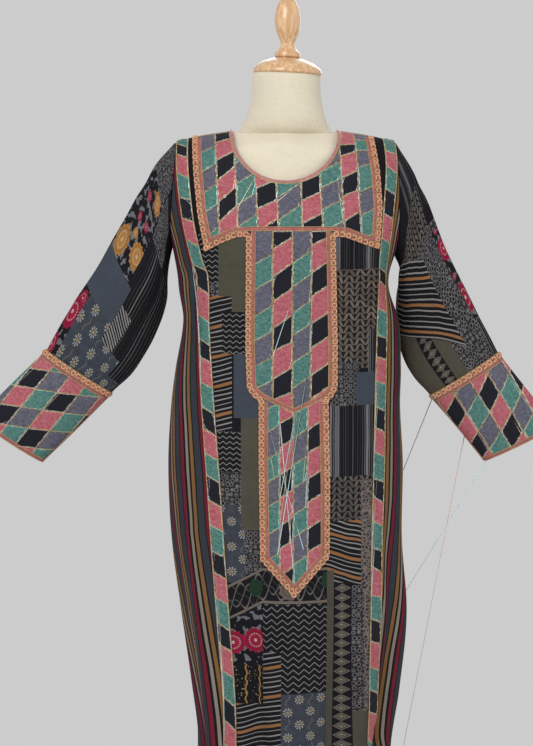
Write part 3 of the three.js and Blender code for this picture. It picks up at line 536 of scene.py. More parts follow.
def thread_mesh(name, runs, radius, material, closed=False, sides=1):
    """Cords that follow runs of points, as one piece."""
    curve = bpy.data.curves.new(name + "_run", "CURVE")
    curve.dimensions = "3D"
    curve.bevel_depth = radius * MM
    curve.bevel_resolution = sides
    curve.use_fill_caps = True
    for run in runs:
        spline = curve.splines.new("POLY")
        spline.points.add(len(run) - 1)
        spline.points.foreach_set("co", np.c_[np.array(run) * MM, np.ones(len(run))].ravel())
        spline.use_cyclic_u = closed
    holder = bpy.data.objects.new(name + "_run", curve)
    bpy.context.scene.collection.objects.link(holder)
    mesh = bpy.data.meshes.new_from_object(holder.evaluated_get(bpy.context.evaluated_depsgraph_get()))
    bpy.data.objects.remove(holder)
    mesh.name = name
    mesh.materials.clear()
    mesh.materials.append(material)
    for polygon in mesh.polygons:
        polygon.use_smooth = True
    piece = bpy.data.objects.new(name, mesh)
    bpy.context.scene.collection.objects.link(piece)
    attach(piece, "root")
    return piece


def spaced(points, step):
    """Points along a run, a step apart."""
    points = np.array(points, float)
    gaps = np.linalg.norm(np.diff(points, axis=0), axis=1)
    run = np.concatenate([[0], np.cumsum(gaps)])
    wanted = np.linspace(0, run[-1], max(2, int(round(run[-1] / step)) + 1))
    return np.stack([np.interp(wanted, run, points[:, k]) for k in range(points.shape[1])], 1)


def beside(path, distance):
    """The path moved sideways, with mitred corners. Positive is to the right of its direction."""
    path = np.array(path, float)
    made = []
    for i, p in enumerate(path):
        u = p - path[i - 1] if i > 0 else path[1] - p
        v = path[i + 1] - p if i < len(path) - 1 else u
        u, v = u / np.linalg.norm(u), v / np.linalg.norm(v)
        normal = np.array([u[1] + v[1], -u[0] - v[0]])
        made.append(p + normal * distance / (normal[0] * u[1] - normal[1] * u[0]))
    return np.array(made)


# ---------------------------------------------------------------- finishes
class Bench:
    """Adds shader nodes to a tree and joins them up. Lengths are in millimetres of cloth."""

    def __init__(self, tree):
        self.tree = tree

    def add(self, kind, inputs=None, **settings):
        node = self.tree.nodes.new(kind)
        for key, value in settings.items():
            setattr(node, key, value)
        for key, value in (inputs or {}).items():
            self.feed(node.inputs[key], value)
        return node

    def feed(self, socket, value):
        if isinstance(value, bpy.types.NodeSocket):
            self.tree.links.new(value, socket)
        elif socket.type == "RGBA" and len(value) == 3:
            socket.default_value = (*value, 1)
        else:
            socket.default_value = value

    def sum(self, *values):
        total = values[0]
        for value in values[1:]:
            total = self.math("ADD", total, value)
        return total

    def math(self, how, *values):
        node = self.add("ShaderNodeMath", operation=how)
        for socket, value in zip(node.inputs, values):
            self.feed(socket, value)
        return node.outputs[0]

    def times(self, a, b):
        return self.math("MULTIPLY", a, b)

    def less(self, a, b):
        return self.math("LESS_THAN", a, b)

    def more(self, a, b):
        return self.math("GREATER_THAN", a, b)

    def minus(self, a, b):
        return self.math("SUBTRACT", a, b)

    def size(self, a):
        return self.math("ABSOLUTE", a)

    def sine(self, a):
        return self.math("SINE", a)

    def cosine(self, a):
        return self.math("COSINE", a)

    def far(self, dx, dy):
        """The length of an arrow from its two parts."""
        return self.math("SQRT", self.sum(self.times(dx, dx), self.times(dy, dy)))

    def shaded(self, colour, tone):
        """A colour made lighter or darker."""
        grey = self.add("ShaderNodeCombineColor", {0: tone, 1: tone, 2: tone}).outputs[0]
        return self.blend(1.0, colour, grey, "MULTIPLY")

    def bump(self, shader, height, distance, strength):
        node = self.add("ShaderNodeBump", {"Height": height, "Distance": distance, "Strength": strength})
        self.feed(shader.inputs["Normal"], node.outputs[0])

    def stretched(self, point, by):
        return self.add("ShaderNodeVectorMath", {0: point, 1: by}, operation="MULTIPLY").outputs[0]

    def in_the_room(self):
        return self.add("ShaderNodeTexCoord").outputs["Object"]

    def either(self, a, b):
        return self.math("MAXIMUM", a, b)

    def soft_less(self, a, limit, edge):
        """1 where a is under the limit, with a soft edge."""
        return self.add(
            "ShaderNodeMapRange",
            {"Value": a, "From Min": limit - edge, "From Max": limit + edge, "To Min": 1.0, "To Max": 0.0},
        ).outputs[0]

    def repeat(self, value, period):
        """How far a value is from the middle of its period, from -period / 2 to period / 2."""
        within = self.math("MODULO", self.sum(value, 1000 * period), period)
        return self.minus(within, period / 2)

    def number(self, value, period):
        """Which period a value lies in."""
        return self.math("FLOOR", self.math("DIVIDE", value, period))

    def chance(self, *seeds):
        point = self.add("ShaderNodeCombineXYZ", dict(zip("XYZ", seeds))).outputs[0]
        return self.add("ShaderNodeTexWhiteNoise", {"Vector": point}, noise_dimensions="3D").outputs["Value"]

    def mottle(self, point, size, detail=2.0):
        texture = self.add("ShaderNodeTexNoise", {"Vector": point, "Scale": 1 / size, "Detail": detail})
        return texture.outputs[0]

    def blend(self, share, a, b, how="MIX"):
        node = self.add("ShaderNodeMix", data_type="RGBA", blend_type=how)
        self.feed(node.inputs[0], share)
        self.feed(node.inputs[6], a)
        self.feed(node.inputs[7], b)
        return node.outputs[2]

    def ramp(self, value, stops, smooth=False):
        node = self.add("ShaderNodeValToRGB", {"Fac": value})
        node.color_ramp.interpolation = "LINEAR" if smooth else "CONSTANT"
        elements = node.color_ramp.elements
        while len(elements) < len(stops):
            elements.new(0.5)
        for element, (position, colour) in zip(elements, stops):
            element.position = position
            element.color = (*colour, 1)
        return node.outputs["Color"]


def shared_group(name, inputs, outputs):
    group = bpy.data.node_groups.new(name, "ShaderNodeTree")
    for label, kind, value in inputs:
        socket = group.interface.new_socket(label, in_out="INPUT", socket_type=kind)
        if value is not None:
            socket.default_value = value
    for label, kind in outputs:
        group.interface.new_socket(label, in_out="OUTPUT", socket_type=kind)
    bench = Bench(group)
    return group, bench, bench.add("NodeGroupInput"), bench.add("NodeGroupOutput")


def cloth_place(bench):
    """Where a point is on the flat cloth, in millimetres, as a vector and its two numbers."""
    flat = bench.add("ShaderNodeUVMap", uv_map="cloth").outputs[0]
    scaled = bench.stretched(flat, (1000, 1000, 1000))
    split = bench.add("ShaderNodeSeparateXYZ", {0: scaled})
    return scaled, split.outputs[0], split.outputs[1]


def weave_group():
    """Plain weave with slubs and soft crinkles, over a printed colour."""
    group, bench, given, made = shared_group(
        "woven_cotton",
        [("Color", "NodeSocketColor", (0.5, 0.5, 0.5, 1)), ("Crinkle", "NodeSocketFloat", 1.0)],
        [("Color", "NodeSocketColor"), ("Normal", "NodeSocketVector")],
    )
    point, x, y = cloth_place(bench)
    warp = bench.sine(bench.times(x, 2 * math.pi / 1.1))
    weft = bench.sine(bench.times(y, 2 * math.pi / 1.1))
    threads = bench.times(warp, weft)
    slub = bench.mottle(bench.stretched(point, (0.12, 1, 1)), 1.4)
    crinkle = bench.mottle(point, 16, 3.0)
    cast = bench.mottle(point, 70, 2.0)
    fade = bench.sum(0.72, bench.times(slub, 0.24), bench.times(cast, 0.3), bench.times(threads, 0.03))
    bench.feed(made.inputs["Color"], bench.shaded(given.outputs["Color"], fade))
    soft = bench.times(bench.times(crinkle, 2.6), given.outputs["Crinkle"])
    height = bench.sum(bench.times(threads, 0.06), bench.times(slub, 0.12), soft)
    bump = bench.add("ShaderNodeBump", {"Height": height, "Distance": 0.001, "Strength": 1.0})
    bench.feed(made.inputs["Normal"], bump.outputs[0])
    return group


WOVEN = weave_group()


def new_finish(name, colour):
    material = bpy.data.materials.new(name)
    material.use_nodes = True
    material.diffuse_color = (*colour, 1)
    bench = Bench(material.node_tree)
    shader = material.node_tree.nodes["Principled BSDF"]
    return material, bench, shader


def printed(name, paint, look=(0.1, 0.1, 0.1), rough=0.85, crinkle=1.0):
    """Printed cotton. paint(bench, point, x, y) gives the print's colour."""
    material, bench, shader = new_finish(name, look)
    point, x, y = cloth_place(bench)
    colour = paint(bench, point, x, y)
    woven = bench.add("ShaderNodeGroup", node_tree=WOVEN)
    bench.feed(woven.inputs["Color"], colour)
    woven.inputs["Crinkle"].default_value = crinkle
    bench.feed(shader.inputs["Base Color"], woven.outputs["Color"])
    bench.feed(shader.inputs["Normal"], woven.outputs["Normal"])
    shader.inputs["Roughness"].default_value = rough
    shader.inputs["Specular IOR Level"].default_value = 0.12
    return material


BLACK = (0.0085, 0.0085, 0.011)
SLATE = (0.050, 0.060, 0.080)
OLIVE = (0.072, 0.067, 0.049)
TAUPE = (0.150, 0.120, 0.098)
LINE = (0.23, 0.225, 0.22)
ORANGE = (0.26, 0.12, 0.05)
MAGENTA = (0.27, 0.012, 0.045)
MUSTARD = (0.36, 0.17, 0.045)
CREAM = (0.235, 0.205, 0.165)
BURGUNDY = (0.155, 0.014, 0.028)
OCHRE = (0.205, 0.105, 0.038)


def plain(colour, vary=0.25):
    def paint(bench, point, x, y):
        shade = bench.sum(1 - vary / 2, bench.times(bench.mottle(point, 9, 4.0), vary))
        return bench.shaded(colour, shade)

    return paint


def zigzag(across=15.5, down=10.0, rise=6.5, line=1.5, ink=LINE, ground=BLACK):
    def paint(bench, point, x, y):
        wave = bench.times(bench.size(bench.repeat(x, across)), 2 * rise / across)
        off = bench.size(bench.repeat(bench.sum(y, wave), down))
        return bench.blend(bench.soft_less(off, line / 2, 0.35), ground, ink)

    return paint


def bars(pitch=8.4, line=1.3, orange_every=6, slope=0.3, wave=2.4):
    """Thin pale lines with an orange bar now and then, printed a little askew."""

    def paint(bench, point, x, y):
        bend = bench.times(bench.mottle(point, 45, 1.0), wave * 2)
        level = bench.sum(y, bench.times(x, -slope), bend)
        off = bench.size(bench.repeat(level, pitch))
        thick = bench.sum(line / 2, bench.times(bench.chance(bench.number(level, pitch), 3.0, 1.0), 0.7))
        pale = bench.less(off, thick)
        count = bench.math("MODULO", bench.sum(bench.number(level, pitch), 6000.0), float(orange_every))
        bar = bench.times(bench.less(count, 0.5), bench.less(off, 2.7))
        return bench.blend(bar, bench.blend(pale, BLACK, LINE), ORANGE)

    return paint


def pinstripes(pitch=4.2, ground=BLACK, ink=(0.24, 0.235, 0.25), share=0.5):
    """Upright stripes of uneven width and shade."""

    def paint(bench, point, x, y):
        lean = bench.sum(x, bench.times(bench.mottle(point, 60, 1.0), 3.0))
        number = bench.number(lean, pitch)
        off = bench.size(bench.repeat(lean, pitch))
        wide = bench.times(bench.chance(number, 7.0, 2.0), pitch * share)
        shade = bench.times(bench.chance(number, 1.0, 5.0), 0.9)
        return bench.blend(bench.times(bench.less(off, wide), shade), ground, ink)

    return paint


def leaves(ink=TAUPE, width=19.0, pitch=10.5, lean=0.62):
    """Leaves in herringbone columns."""

    def paint(bench, point, x, y):
        wobble = bench.times(bench.mottle(point, 18, 2.0), 5.0)
        off = bench.repeat(bench.sum(x, wobble), width)
        side = bench.size(off)
        level = bench.sum(y, bench.times(side, lean * 2), bench.times(wobble, 0.6))
        leaf = bench.size(bench.repeat(level, pitch))
        swell = bench.times(bench.sine(bench.times(side, math.pi * 2 / width)), pitch * 0.36)
        inside = bench.less(leaf, bench.sum(swell, 0.5))
        vein = bench.soft_less(leaf, 0.35, 0.25)
        luck = bench.chance(bench.number(level, pitch), bench.number(x, width), 1.0)
        tone = bench.sum(0.65, bench.times(luck, 0.5))
        inked = bench.shaded(ink, tone)
        return bench.blend(inside, BLACK, bench.blend(bench.times(vein, 0.5), inked, BLACK))

    return paint


def ring_lace(size=8.0, ink=(0.175, 0.165, 0.165), ground=(0.026, 0.025, 0.028)):
    """Small dark rounds with a pale ring about each, packed like lace."""

    def paint(bench, point, x, y):
        cells = bench.add("ShaderNodeTexVoronoi", {"Vector": point, "Scale": 1 / size, "Randomness": 0.35})
        distance = cells.outputs["Distance"]
        ring = bench.soft_less(bench.size(bench.minus(distance, 0.38)), 0.07, 0.05)
        tone = bench.times(ring, bench.sum(0.35, bench.mottle(point, 26, 1.0)))
        inside = bench.blend(bench.soft_less(distance, 0.32, 0.04), ground, BLACK)
        return bench.blend(tone, inside, ink)

    return paint


def daisies(across=38.0, down=43.0, petals=9.0, ink=(0.30, 0.29, 0.26), ground=(0.044, 0.050, 0.064)):
    """Rows of small daisies with a gold heart, and hooked sprigs between them."""

    def flower(bench, x, y):
        dx, dy = bench.repeat(x, across), bench.repeat(y, down)
        radius = bench.far(dx, dy)
        angle = bench.math("ARCTAN2", dy, dx)
        petal = bench.cosine(bench.times(angle, petals))
        reach = bench.sum(6.9, bench.times(petal, 1.2))
        outside = bench.more(radius, bench.sum(3.6, bench.times(petal, -0.6)))
        blade = bench.more(petal, 0.0)
        white = bench.times(bench.times(bench.less(radius, reach), outside), blade)
        return white, bench.less(radius, 2.2)

    def paint(bench, point, x, y):
        white, heart = flower(bench, x, y)
        white_b, heart_b = flower(bench, bench.sum(x, across / 2), bench.sum(y, down / 2))
        sprig_x = bench.repeat(bench.sum(x, across / 2), across)
        sprig_y = bench.repeat(y, down)
        curl = bench.size(bench.sum(sprig_x, bench.times(bench.sine(bench.times(sprig_y, 0.28)), -3.5)))
        sprig = bench.times(bench.less(curl, 0.8), bench.less(bench.size(sprig_y), 10.0))
        grained = plain(ground, 0.9)(bench, point, x, y)
        drawn = bench.blend(bench.times(sprig, 0.3), grained, ink)
        drawn = bench.blend(bench.either(white, white_b), drawn, ink)
        return bench.blend(bench.either(heart, heart_b), drawn, (0.30, 0.22, 0.10))

    return paint


def crackle(size=7.0, ink=(0.20, 0.165, 0.15), ground=(0.03, 0.027, 0.028)):
    def paint(bench, point, x, y):
        pattern = {"Vector": point, "Scale": 1 / size}
        cells = bench.add("ShaderNodeTexVoronoi", pattern, feature="DISTANCE_TO_EDGE")
        line = bench.soft_less(cells.outputs["Distance"], 0.1, 0.06)
        spots = bench.more(bench.mottle(point, 4.0, 3.0), 0.54)
        return bench.blend(bench.either(bench.times(line, 0.9), bench.times(spots, 0.55)), ground, ink)

    return paint


def flowers(spots, ground=BLACK, leaf=(0.13, 0.135, 0.15)):
    """Big serrated flowers at given places on the cloth: (x, y, radius, colour)."""

    def paint(bench, point, x, y):
        leafy = bench.more(bench.mottle(point, 11.0, 1.5), 0.55)
        drawn = bench.blend(leafy, ground, leaf)
        for at_x, at_y, size, colour in spots:
            dx, dy = bench.minus(x, float(at_x)), bench.minus(y, float(at_y))
            radius = bench.far(dx, dy)
            angle = bench.math("ARCTAN2", dy, dx)
            teeth = bench.times(bench.math("PINGPONG", bench.times(angle, 1.0), math.pi / 14), size * 0.75)
            shape = bench.less(radius, bench.sum(size * 0.86, teeth))
            ring = bench.less(bench.size(bench.minus(radius, size * 0.52)), size * 0.055)
            dotted = bench.times(ring, bench.more(bench.cosine(bench.times(angle, 18.0)), -0.2))
            heart = bench.less(radius, size * 0.13)
            darker = bench.less(bench.size(bench.minus(radius, size * 0.72)), size * 0.1)
            petals = bench.blend(bench.times(darker, 0.45), colour, tuple(c * 0.45 for c in colour))
            petals = bench.blend(bench.either(bench.times(dotted, 0.7), heart), petals, (0.42, 0.36, 0.30))
            drawn = bench.blend(shape, drawn, petals)
        return drawn

    return paint


def gold_dots(size=4.6):
    def paint(bench, point, x, y):
        cells = bench.add("ShaderNodeTexVoronoi", {"Vector": point, "Scale": 1 / size})
        clusters = bench.more(bench.mottle(point, 7.0), 0.45)
        dots = bench.times(bench.less(cells.outputs["Distance"], 0.26), clusters)
        sway = bench.times(bench.sine(bench.times(y, 0.35)), 1.2)
        stem = bench.less(bench.size(bench.repeat(bench.sum(x, sway, 13.0), 24.0)), 1.1)
        drawn = bench.blend(dots, BLACK, (0.26, 0.20, 0.11))
        return bench.blend(stem, drawn, (0.32, 0.17, 0.05))

    return paint


def diamonds(middle, width=29.0, pitch=16.0):
    """A column of nested diamonds, with a gold bead in every other one."""

    def paint(bench, point, x, y):
        dx = bench.size(bench.minus(x, float(middle)))
        dy = bench.size(bench.repeat(y, pitch))
        reach = bench.sum(bench.times(dx, 2 / width), bench.times(dy, 2 / pitch))
        outer = bench.soft_less(bench.size(bench.minus(reach, 0.86)), 0.07, 0.03)
        inner = bench.soft_less(bench.size(bench.minus(reach, 0.42)), 0.08, 0.03)
        fill = bench.times(bench.less(reach, 0.9), 0.35)
        radius = bench.far(dx, dy)
        drawn = bench.blend(bench.either(fill, bench.either(outer, inner)), BLACK, (0.165, 0.155, 0.13))
        second = bench.less(bench.size(bench.repeat(y, pitch * 2)), pitch / 2)
        return bench.blend(bench.times(bench.less(radius, 1.7), second), drawn, (0.40, 0.30, 0.10))

    return paint


def vine(centre, height, step_x=-42.0, sag=0.55, wave=62.0, leaves_at=()):
    """Curling leaves between two brown lines, with green leaves and a round flower head. Left of
    step_x the whole band runs downhill."""

    def paint(bench, point, x, y):
        beyond = bench.math("MAXIMUM", bench.minus(step_x, x), 0.0)
        level = bench.sum(y, bench.times(beyond, sag), -float(centre))
        drawn = BLACK
        for shift, size, thick in ((0, 0.31, 2.5), (31, 0.31, 2.3), (15, 0.13, 1.7), (46, 0.36, 1.3)):
            phase = bench.times(bench.sum(x, float(shift)), 2 * math.pi / wave)
            hook = bench.times(bench.sine(bench.times(phase, 2.0)), height * 0.13)
            curve = bench.sum(bench.times(bench.sine(phase), height * size), hook)
            taper = bench.times(bench.sum(bench.cosine(phase), 1.5), thick / 2)
            off = bench.minus(bench.size(bench.minus(level, curve)), taper)
            stroke = bench.blend(bench.soft_less(off, -1.3, 0.4), (0.075, 0.072, 0.066), (0.145, 0.14, 0.125))
            drawn = bench.blend(bench.soft_less(off, 0.0, 0.5), drawn, stroke)
        for at_x, at_y, wide, high, colour in leaves_at:
            dx = bench.times(bench.minus(x, float(at_x)), 1 / wide)
            dy = bench.times(bench.minus(y, float(at_y)), 1 / high)
            radius = bench.far(dx, dy)
            angle = bench.math("ARCTAN2", dy, dx)
            lobes = bench.sum(0.93, bench.times(bench.cosine(bench.times(angle, 9.0)), 0.09))
            rib = bench.soft_less(bench.size(bench.repeat(bench.times(radius, 10.0), 4.0)), 0.5, 0.2)
            leaf = bench.blend(bench.times(rib, 0.5), colour, BLACK)
            drawn = bench.blend(bench.less(radius, lobes), drawn, leaf)
        edge = bench.size(bench.minus(bench.size(level), height * 0.5 - 3.2))
        return bench.blend(bench.less(edge, 2.2), drawn, TAUPE)

    return paint


STRIPE_PERIOD = 47.0
# from and to across the stripes, and the colour
STRIPES = [
    (0, 8, BURGUNDY), (10, 22.5, (0.034, 0.041, 0.052)), (25, 32, OCHRE), (36, 42, CREAM),
    (45, STRIPE_PERIOD, BLACK),
]


def side_stripes(offset):
    """Upright stripes on black, in their order from the princess seam outwards; low down they run to it."""

    def paint(bench, point, x, y):
        wander = bench.times(bench.mottle(point, 90, 1.0), 4.0)
        below = bench.math("MAXIMUM", bench.minus(-700.0, y), 0.0)
        along = bench.sum(x, wander, offset, bench.times(below, 0.085))
        within = bench.math("MODULO", bench.sum(along, STRIPE_PERIOD * 4), STRIPE_PERIOD)
        place = bench.math("DIVIDE", within, STRIPE_PERIOD)
        stops = []
        for start, end, colour in STRIPES:
            stops += [(start / STRIPE_PERIOD, colour), (end / STRIPE_PERIOD, BLACK)]
        return bench.ramp(place, stops)

    return paint


def stitched(name, colour, fleck, rough=0.6, direction=0.0, row=1.5):
    """Embroidery: rows of thread with a soft gloss, lighter and darker stitch by stitch, and painted shade in
    the grooves between rows.
    """
    material, bench, shader = new_finish(name, colour)
    point, x, y = cloth_place(bench)
    slanted = bench.sum(bench.times(x, math.sin(direction)), bench.times(y, math.cos(direction)))
    along = bench.sum(bench.times(x, math.cos(direction)), bench.times(y, -math.sin(direction)))
    rows = bench.size(bench.sine(bench.times(slanted, math.pi / row)))
    line = bench.number(slanted, row)
    stitch = bench.chance(line, bench.number(bench.sum(along, bench.times(line, 2.3)), 4.2), 1.0)
    patchy = bench.mottle(point, 5.5, 3.0)
    share = bench.sum(bench.times(stitch, 0.55), bench.times(patchy, 0.75), -0.32)
    base = bench.blend(bench.math("MINIMUM", bench.math("MAXIMUM", share, 0.0), 1.0), colour, fleck)
    # painted shade: the colour is darkened in the grooves between the rows of thread
    painted_groove_shade = bench.sum(0.62, bench.times(rows, 0.42))
    bench.feed(shader.inputs["Base Color"], bench.shaded(base, painted_groove_shade))
    dents = bench.times(bench.mottle(point, 12, 2.0), 0.8)
    height = bench.sum(bench.times(rows, 0.45), bench.times(stitch, 0.18), dents)
    bench.bump(shader, height, 0.001, 0.8)
    shader.inputs["Roughness"].default_value = rough
    shader.inputs["Specular IOR Level"].default_value = 0.3
    return material


def beaded(name, dark, light, metallic=0.35):
    """A couched outline of tiny beads and metal thread, with painted glints: a few random beads are coloured
    light as if catching a highlight.
    """
    material, bench, shader = new_finish(name, light)
    point, x, y = cloth_place(bench)
    cells = bench.add("ShaderNodeTexVoronoi", {"Vector": point, "Scale": 1 / 1.9, "Randomness": 0.6})
    luck = bench.add("ShaderNodeSeparateColor", {0: cells.outputs["Color"]}).outputs[0]
    # painted highlight: a few random bead cells take the light colour, standing in for glints
    painted_glint = bench.math("POWER", luck, 2.2)
    bench.feed(shader.inputs["Base Color"], bench.blend(painted_glint, dark, light))
    dome = bench.minus(1.0, cells.outputs["Distance"])
    bench.bump(shader, dome, 0.0008, 1.0)
    shader.inputs["Roughness"].default_value = 0.38
    shader.inputs["Metallic"].default_value = metallic
    return material


def corded(name, colour, light, metallic=0.0, rough=0.55, twist=1.6):
    """Twisted cord or braid, by its own place in the room."""
    material, bench, shader = new_finish(name, colour)
    place = bench.in_the_room()
    grain = bench.mottle(place, 0.0011 * twist, 2.0)
    cast = bench.mottle(place, 0.012, 2.0)
    share = bench.math("MINIMUM", bench.sum(bench.times(grain, 1.5), bench.times(cast, 0.6), -0.62), 1.0)
    bench.feed(shader.inputs["Base Color"], bench.blend(bench.math("MAXIMUM", share, 0.0), colour, light))
    bench.bump(shader, grain, 0.0006, 0.9)
    shader.inputs["Roughness"].default_value = rough
    shader.inputs["Metallic"].default_value = metallic
    return material


# Thread colours of the diamonds, each with its fleck, and the beads that go round each.
TEAL = stitched("teal_thread", (0.040, 0.150, 0.128), (0.170, 0.350, 0.310), direction=0.3)
PINK = stitched("pink_thread", (0.42, 0.075, 0.10), (0.64, 0.23, 0.27), direction=0.3)
NIGHT = stitched("night_thread", (0.0060, 0.0065, 0.012), (0.014, 0.015, 0.026), rough=0.85, direction=0.3)
HEATHER = stitched("heather_thread", (0.080, 0.078, 0.112), (0.205, 0.205, 0.27), direction=0.3)
# each bead finish: its own dark colour, then the light colour of its painted glints
TEAL_BEADS = beaded("turquoise_beads", (0.06, 0.33, 0.30), (0.40, 0.86, 0.82))
PINK_BEADS = beaded("peach_beads", (0.50, 0.22, 0.17), (0.95, 0.66, 0.52))
NIGHT_BEADS = beaded("silver_beads", (0.25, 0.26, 0.26), (0.95, 0.96, 0.96))
PINK_TAPE = stitched("pink_tape", (0.40, 0.085, 0.10), (0.62, 0.24, 0.24), direction=0.0, row=2.2)
GOLD_THREAD = corded("gold_couching", (0.24, 0.15, 0.05), (0.66, 0.46, 0.20), metallic=0.1, rough=0.45)
BRAID_CORD = corded("peach_braid", (0.50, 0.24, 0.11), (0.88, 0.56, 0.30), rough=0.5)
BRAID_GROUND = corded("braid_ground", (0.26, 0.10, 0.07), (0.46, 0.23, 0.15), rough=0.6)
BRAID_KNOT = corded("pink_knot", (0.40, 0.06, 0.07), (0.62, 0.22, 0.20), rough=0.6)
BINDING = corded("pink_binding", (0.34, 0.09, 0.12), (0.58, 0.26, 0.28), rough=0.45, twist=3.0)
PIPING = corded("brown_piping", (0.26, 0.10, 0.07), (0.50, 0.26, 0.17), rough=0.6, twist=2.0)
EMBROIDERY = [TEAL, PINK, NIGHT, HEATHER, TEAL_BEADS, PINK_BEADS, NIGHT_BEADS]
T, P, N, H = 0, 1, 2, 3
# each colour's outer and inner border
BORDERS = {T: (4, 4), P: (5, 5), N: (N, 6), H: (N, H)}

# sequin metal colours; beaded also paints glints in the second, paler colour on random cells
SEQUIN = {
    T: beaded("turquoise_sequin", (0.5, 0.85, 0.83), (0.85, 0.97, 0.95), 0.7),
    P: beaded("peach_sequin", (0.85, 0.6, 0.45), (0.98, 0.84, 0.72), 0.7),
    N: beaded("silver_sequin", (0.8, 0.82, 0.84), (0.98, 0.98, 0.98), 0.8),
    H: beaded("gold_sequin", (0.45, 0.40, 0.26), (0.75, 0.68, 0.48), 0.7),
}

# ---------------------------------------------------------------- cotton prints
DEEP_GREEN = (0.014, 0.040, 0.022)
# where the prints' flowers and leaves are on the flat cloth
VINE_LEAVES = [
    (-55, 683, 13, 17, DEEP_GREEN), (66, 697, 9, 15, DEEP_GREEN), (4, 681, 20, 18, (0.125, 0.098, 0.082)),
]
LEFT_SLEEVE_FLOWERS = [
    (161, -62, 17, MUSTARD), (127, -84, 8, MAGENTA), (155, -113, 8, MAGENTA), (128, -122, 8, MAGENTA),
    (140, -142, 8, MUSTARD), (120, -172, 22, MUSTARD), (168, -156, 19, MUSTARD),
    (117, -264, 11, MAGENTA), (113, -284, 19, MAGENTA), (104, -322, 13, MAGENTA),
]
RIGHT_SLEEVE_FLOWERS = [
    (104, -156, 5, MAGENTA), (101, -186, 17, MAGENTA), (112, -222, 5, MAGENTA), (112, -251, 18, MAGENTA),
]
FABRIC = {
    "black": printed("black_cotton", plain(BLACK, 0.5)),
    "slate": printed("slate_cotton", plain(SLATE, 0.3)),
    "olive": printed("olive_cotton", plain(OLIVE, 0.3)),
    "zigzag": printed("zigzag_cotton", zigzag(11.5, 9.0, 4.6, 1.4)),
    "wide_zigzag": printed("wide_zigzag_cotton", zigzag(18.0, 10.6, 8.0, 1.5)),
    "bars": printed("orange_bar_cotton", bars()),
    "low_bars": printed("low_bar_cotton", bars(pitch=8.0, orange_every=4, slope=-0.32, wave=5.0)),
    "pinstripe": printed("pinstripe_cotton", pinstripes()),
    "leaves": printed("leaf_cotton", leaves()),
    "dark_leaves": printed("dark_leaf_cotton", leaves(ink=(0.115, 0.10, 0.088))),
    "rings": printed("ring_cotton", ring_lace()),
    "daisies": printed("daisy_cotton", daisies()),
    "crackle": printed("crackle_cotton", crackle()),
    "dots": printed("gold_dot_cotton", gold_dots()),
    "diamonds": printed("diamond_cotton", diamonds(95.0)),
    "flowers": printed("flower_cotton", flowers([(-93, 587, 21, MAGENTA), (-56, 592, 22, MAGENTA)])),
    "vine": printed("vine_cotton", vine(688, 62, leaves_at=VINE_LEAVES)),
    "thin_lines": printed("thin_line_cotton", pinstripes(pitch=6.5, ink=(0.26, 0.255, 0.25), share=0.14)),
    "short_bars": printed("short_bar_cotton", bars(pitch=5.5, line=2.0, orange_every=900, slope=-0.4)),
    "sleeve_bars": printed("sleeve_bar_cotton", bars(pitch=9.6, line=1.7, orange_every=5, slope=0.95)),
    "sleeve_diamonds": printed("sleeve_diamond_cotton", diamonds(221.0, 27.0, 15.0)),
    "left_flowers": printed("left_sleeve_flower_cotton", flowers(LEFT_SLEEVE_FLOWERS)),
    "right_flowers": printed("right_sleeve_flower_cotton", flowers(RIGHT_SLEEVE_FLOWERS)),
}
FABRIC_NAMES = list(FABRIC)

# fabric, from x, to x, from w, to w
FRONT_PATCHES = [
    ("zigzag", -150, -112, 1280, 1197), ("rings", -150, -116, 1197, 1177), ("olive", -116, -60, 1300, 1151),
    ("bars", -150, -94, 1177, 940), ("zigzag", -111, -60, 1151, 1080), ("slate", -91, -40, 1080, 972),
    ("zigzag", -135, -79, 948, 880), ("rings", -135, -76, 880, 824), ("daisies", -135, -72, 824, 690),
    ("olive", -79, -40, 972, 782), ("rings", -72, -40, 782, 706),
    ("pinstripe", 70, 170, 1300, 1222), ("leaves", 70, 170, 1222, 1055), ("pinstripe", 136, 170, 1121, 1040),
    ("rings", 70, 120, 1066, 991), ("slate", 115, 170, 1048, 980), ("pinstripe", 60, 170, 992, 872),
    ("dark_leaves", 60, 170, 872, 785), ("low_bars", 60, 125, 796, 684), ("crackle", 125, 170, 863, 640),
    ("flowers", -130, -42, 660, 549), ("vine", -42, 68, 719, 657), ("vine", -130, -42, 741, 680, 0.55),
    ("dots", -130, -42, 549, 481), ("bars", -130, -42, 481, 382), ("wide_zigzag", -42, 68, 657, 504),
    ("bars", -42, -11, 575, 389), ("daisies", -11, 68, 504, 385), ("olive", 67, 80, 712, 380),
    ("diamonds", 80, 110, 690, 380), ("rings", 110, 170, 684, 466), ("olive", 110, 170, 466, 371),
    ("crackle", 129, 170, 690, 463),
    ("rings", -130, -55, 382, 290), ("olive", -55, 10, 385, 300), ("zigzag", 10, 83, 385, 270),
    ("leaves", 83, 170, 375, 250), ("daisies", -130, -40, 290, 160), ("bars", -55, 30, 300, 190),
    ("slate", 10, 83, 270, 180), ("dots", 83, 170, 250, 140), ("wide_zigzag", -40, 60, 190, 90),
    ("pinstripe", -130, -40, 160, 53), ("crackle", 60, 170, 180, 53), ("olive", -40, 60, 90, 53),
]
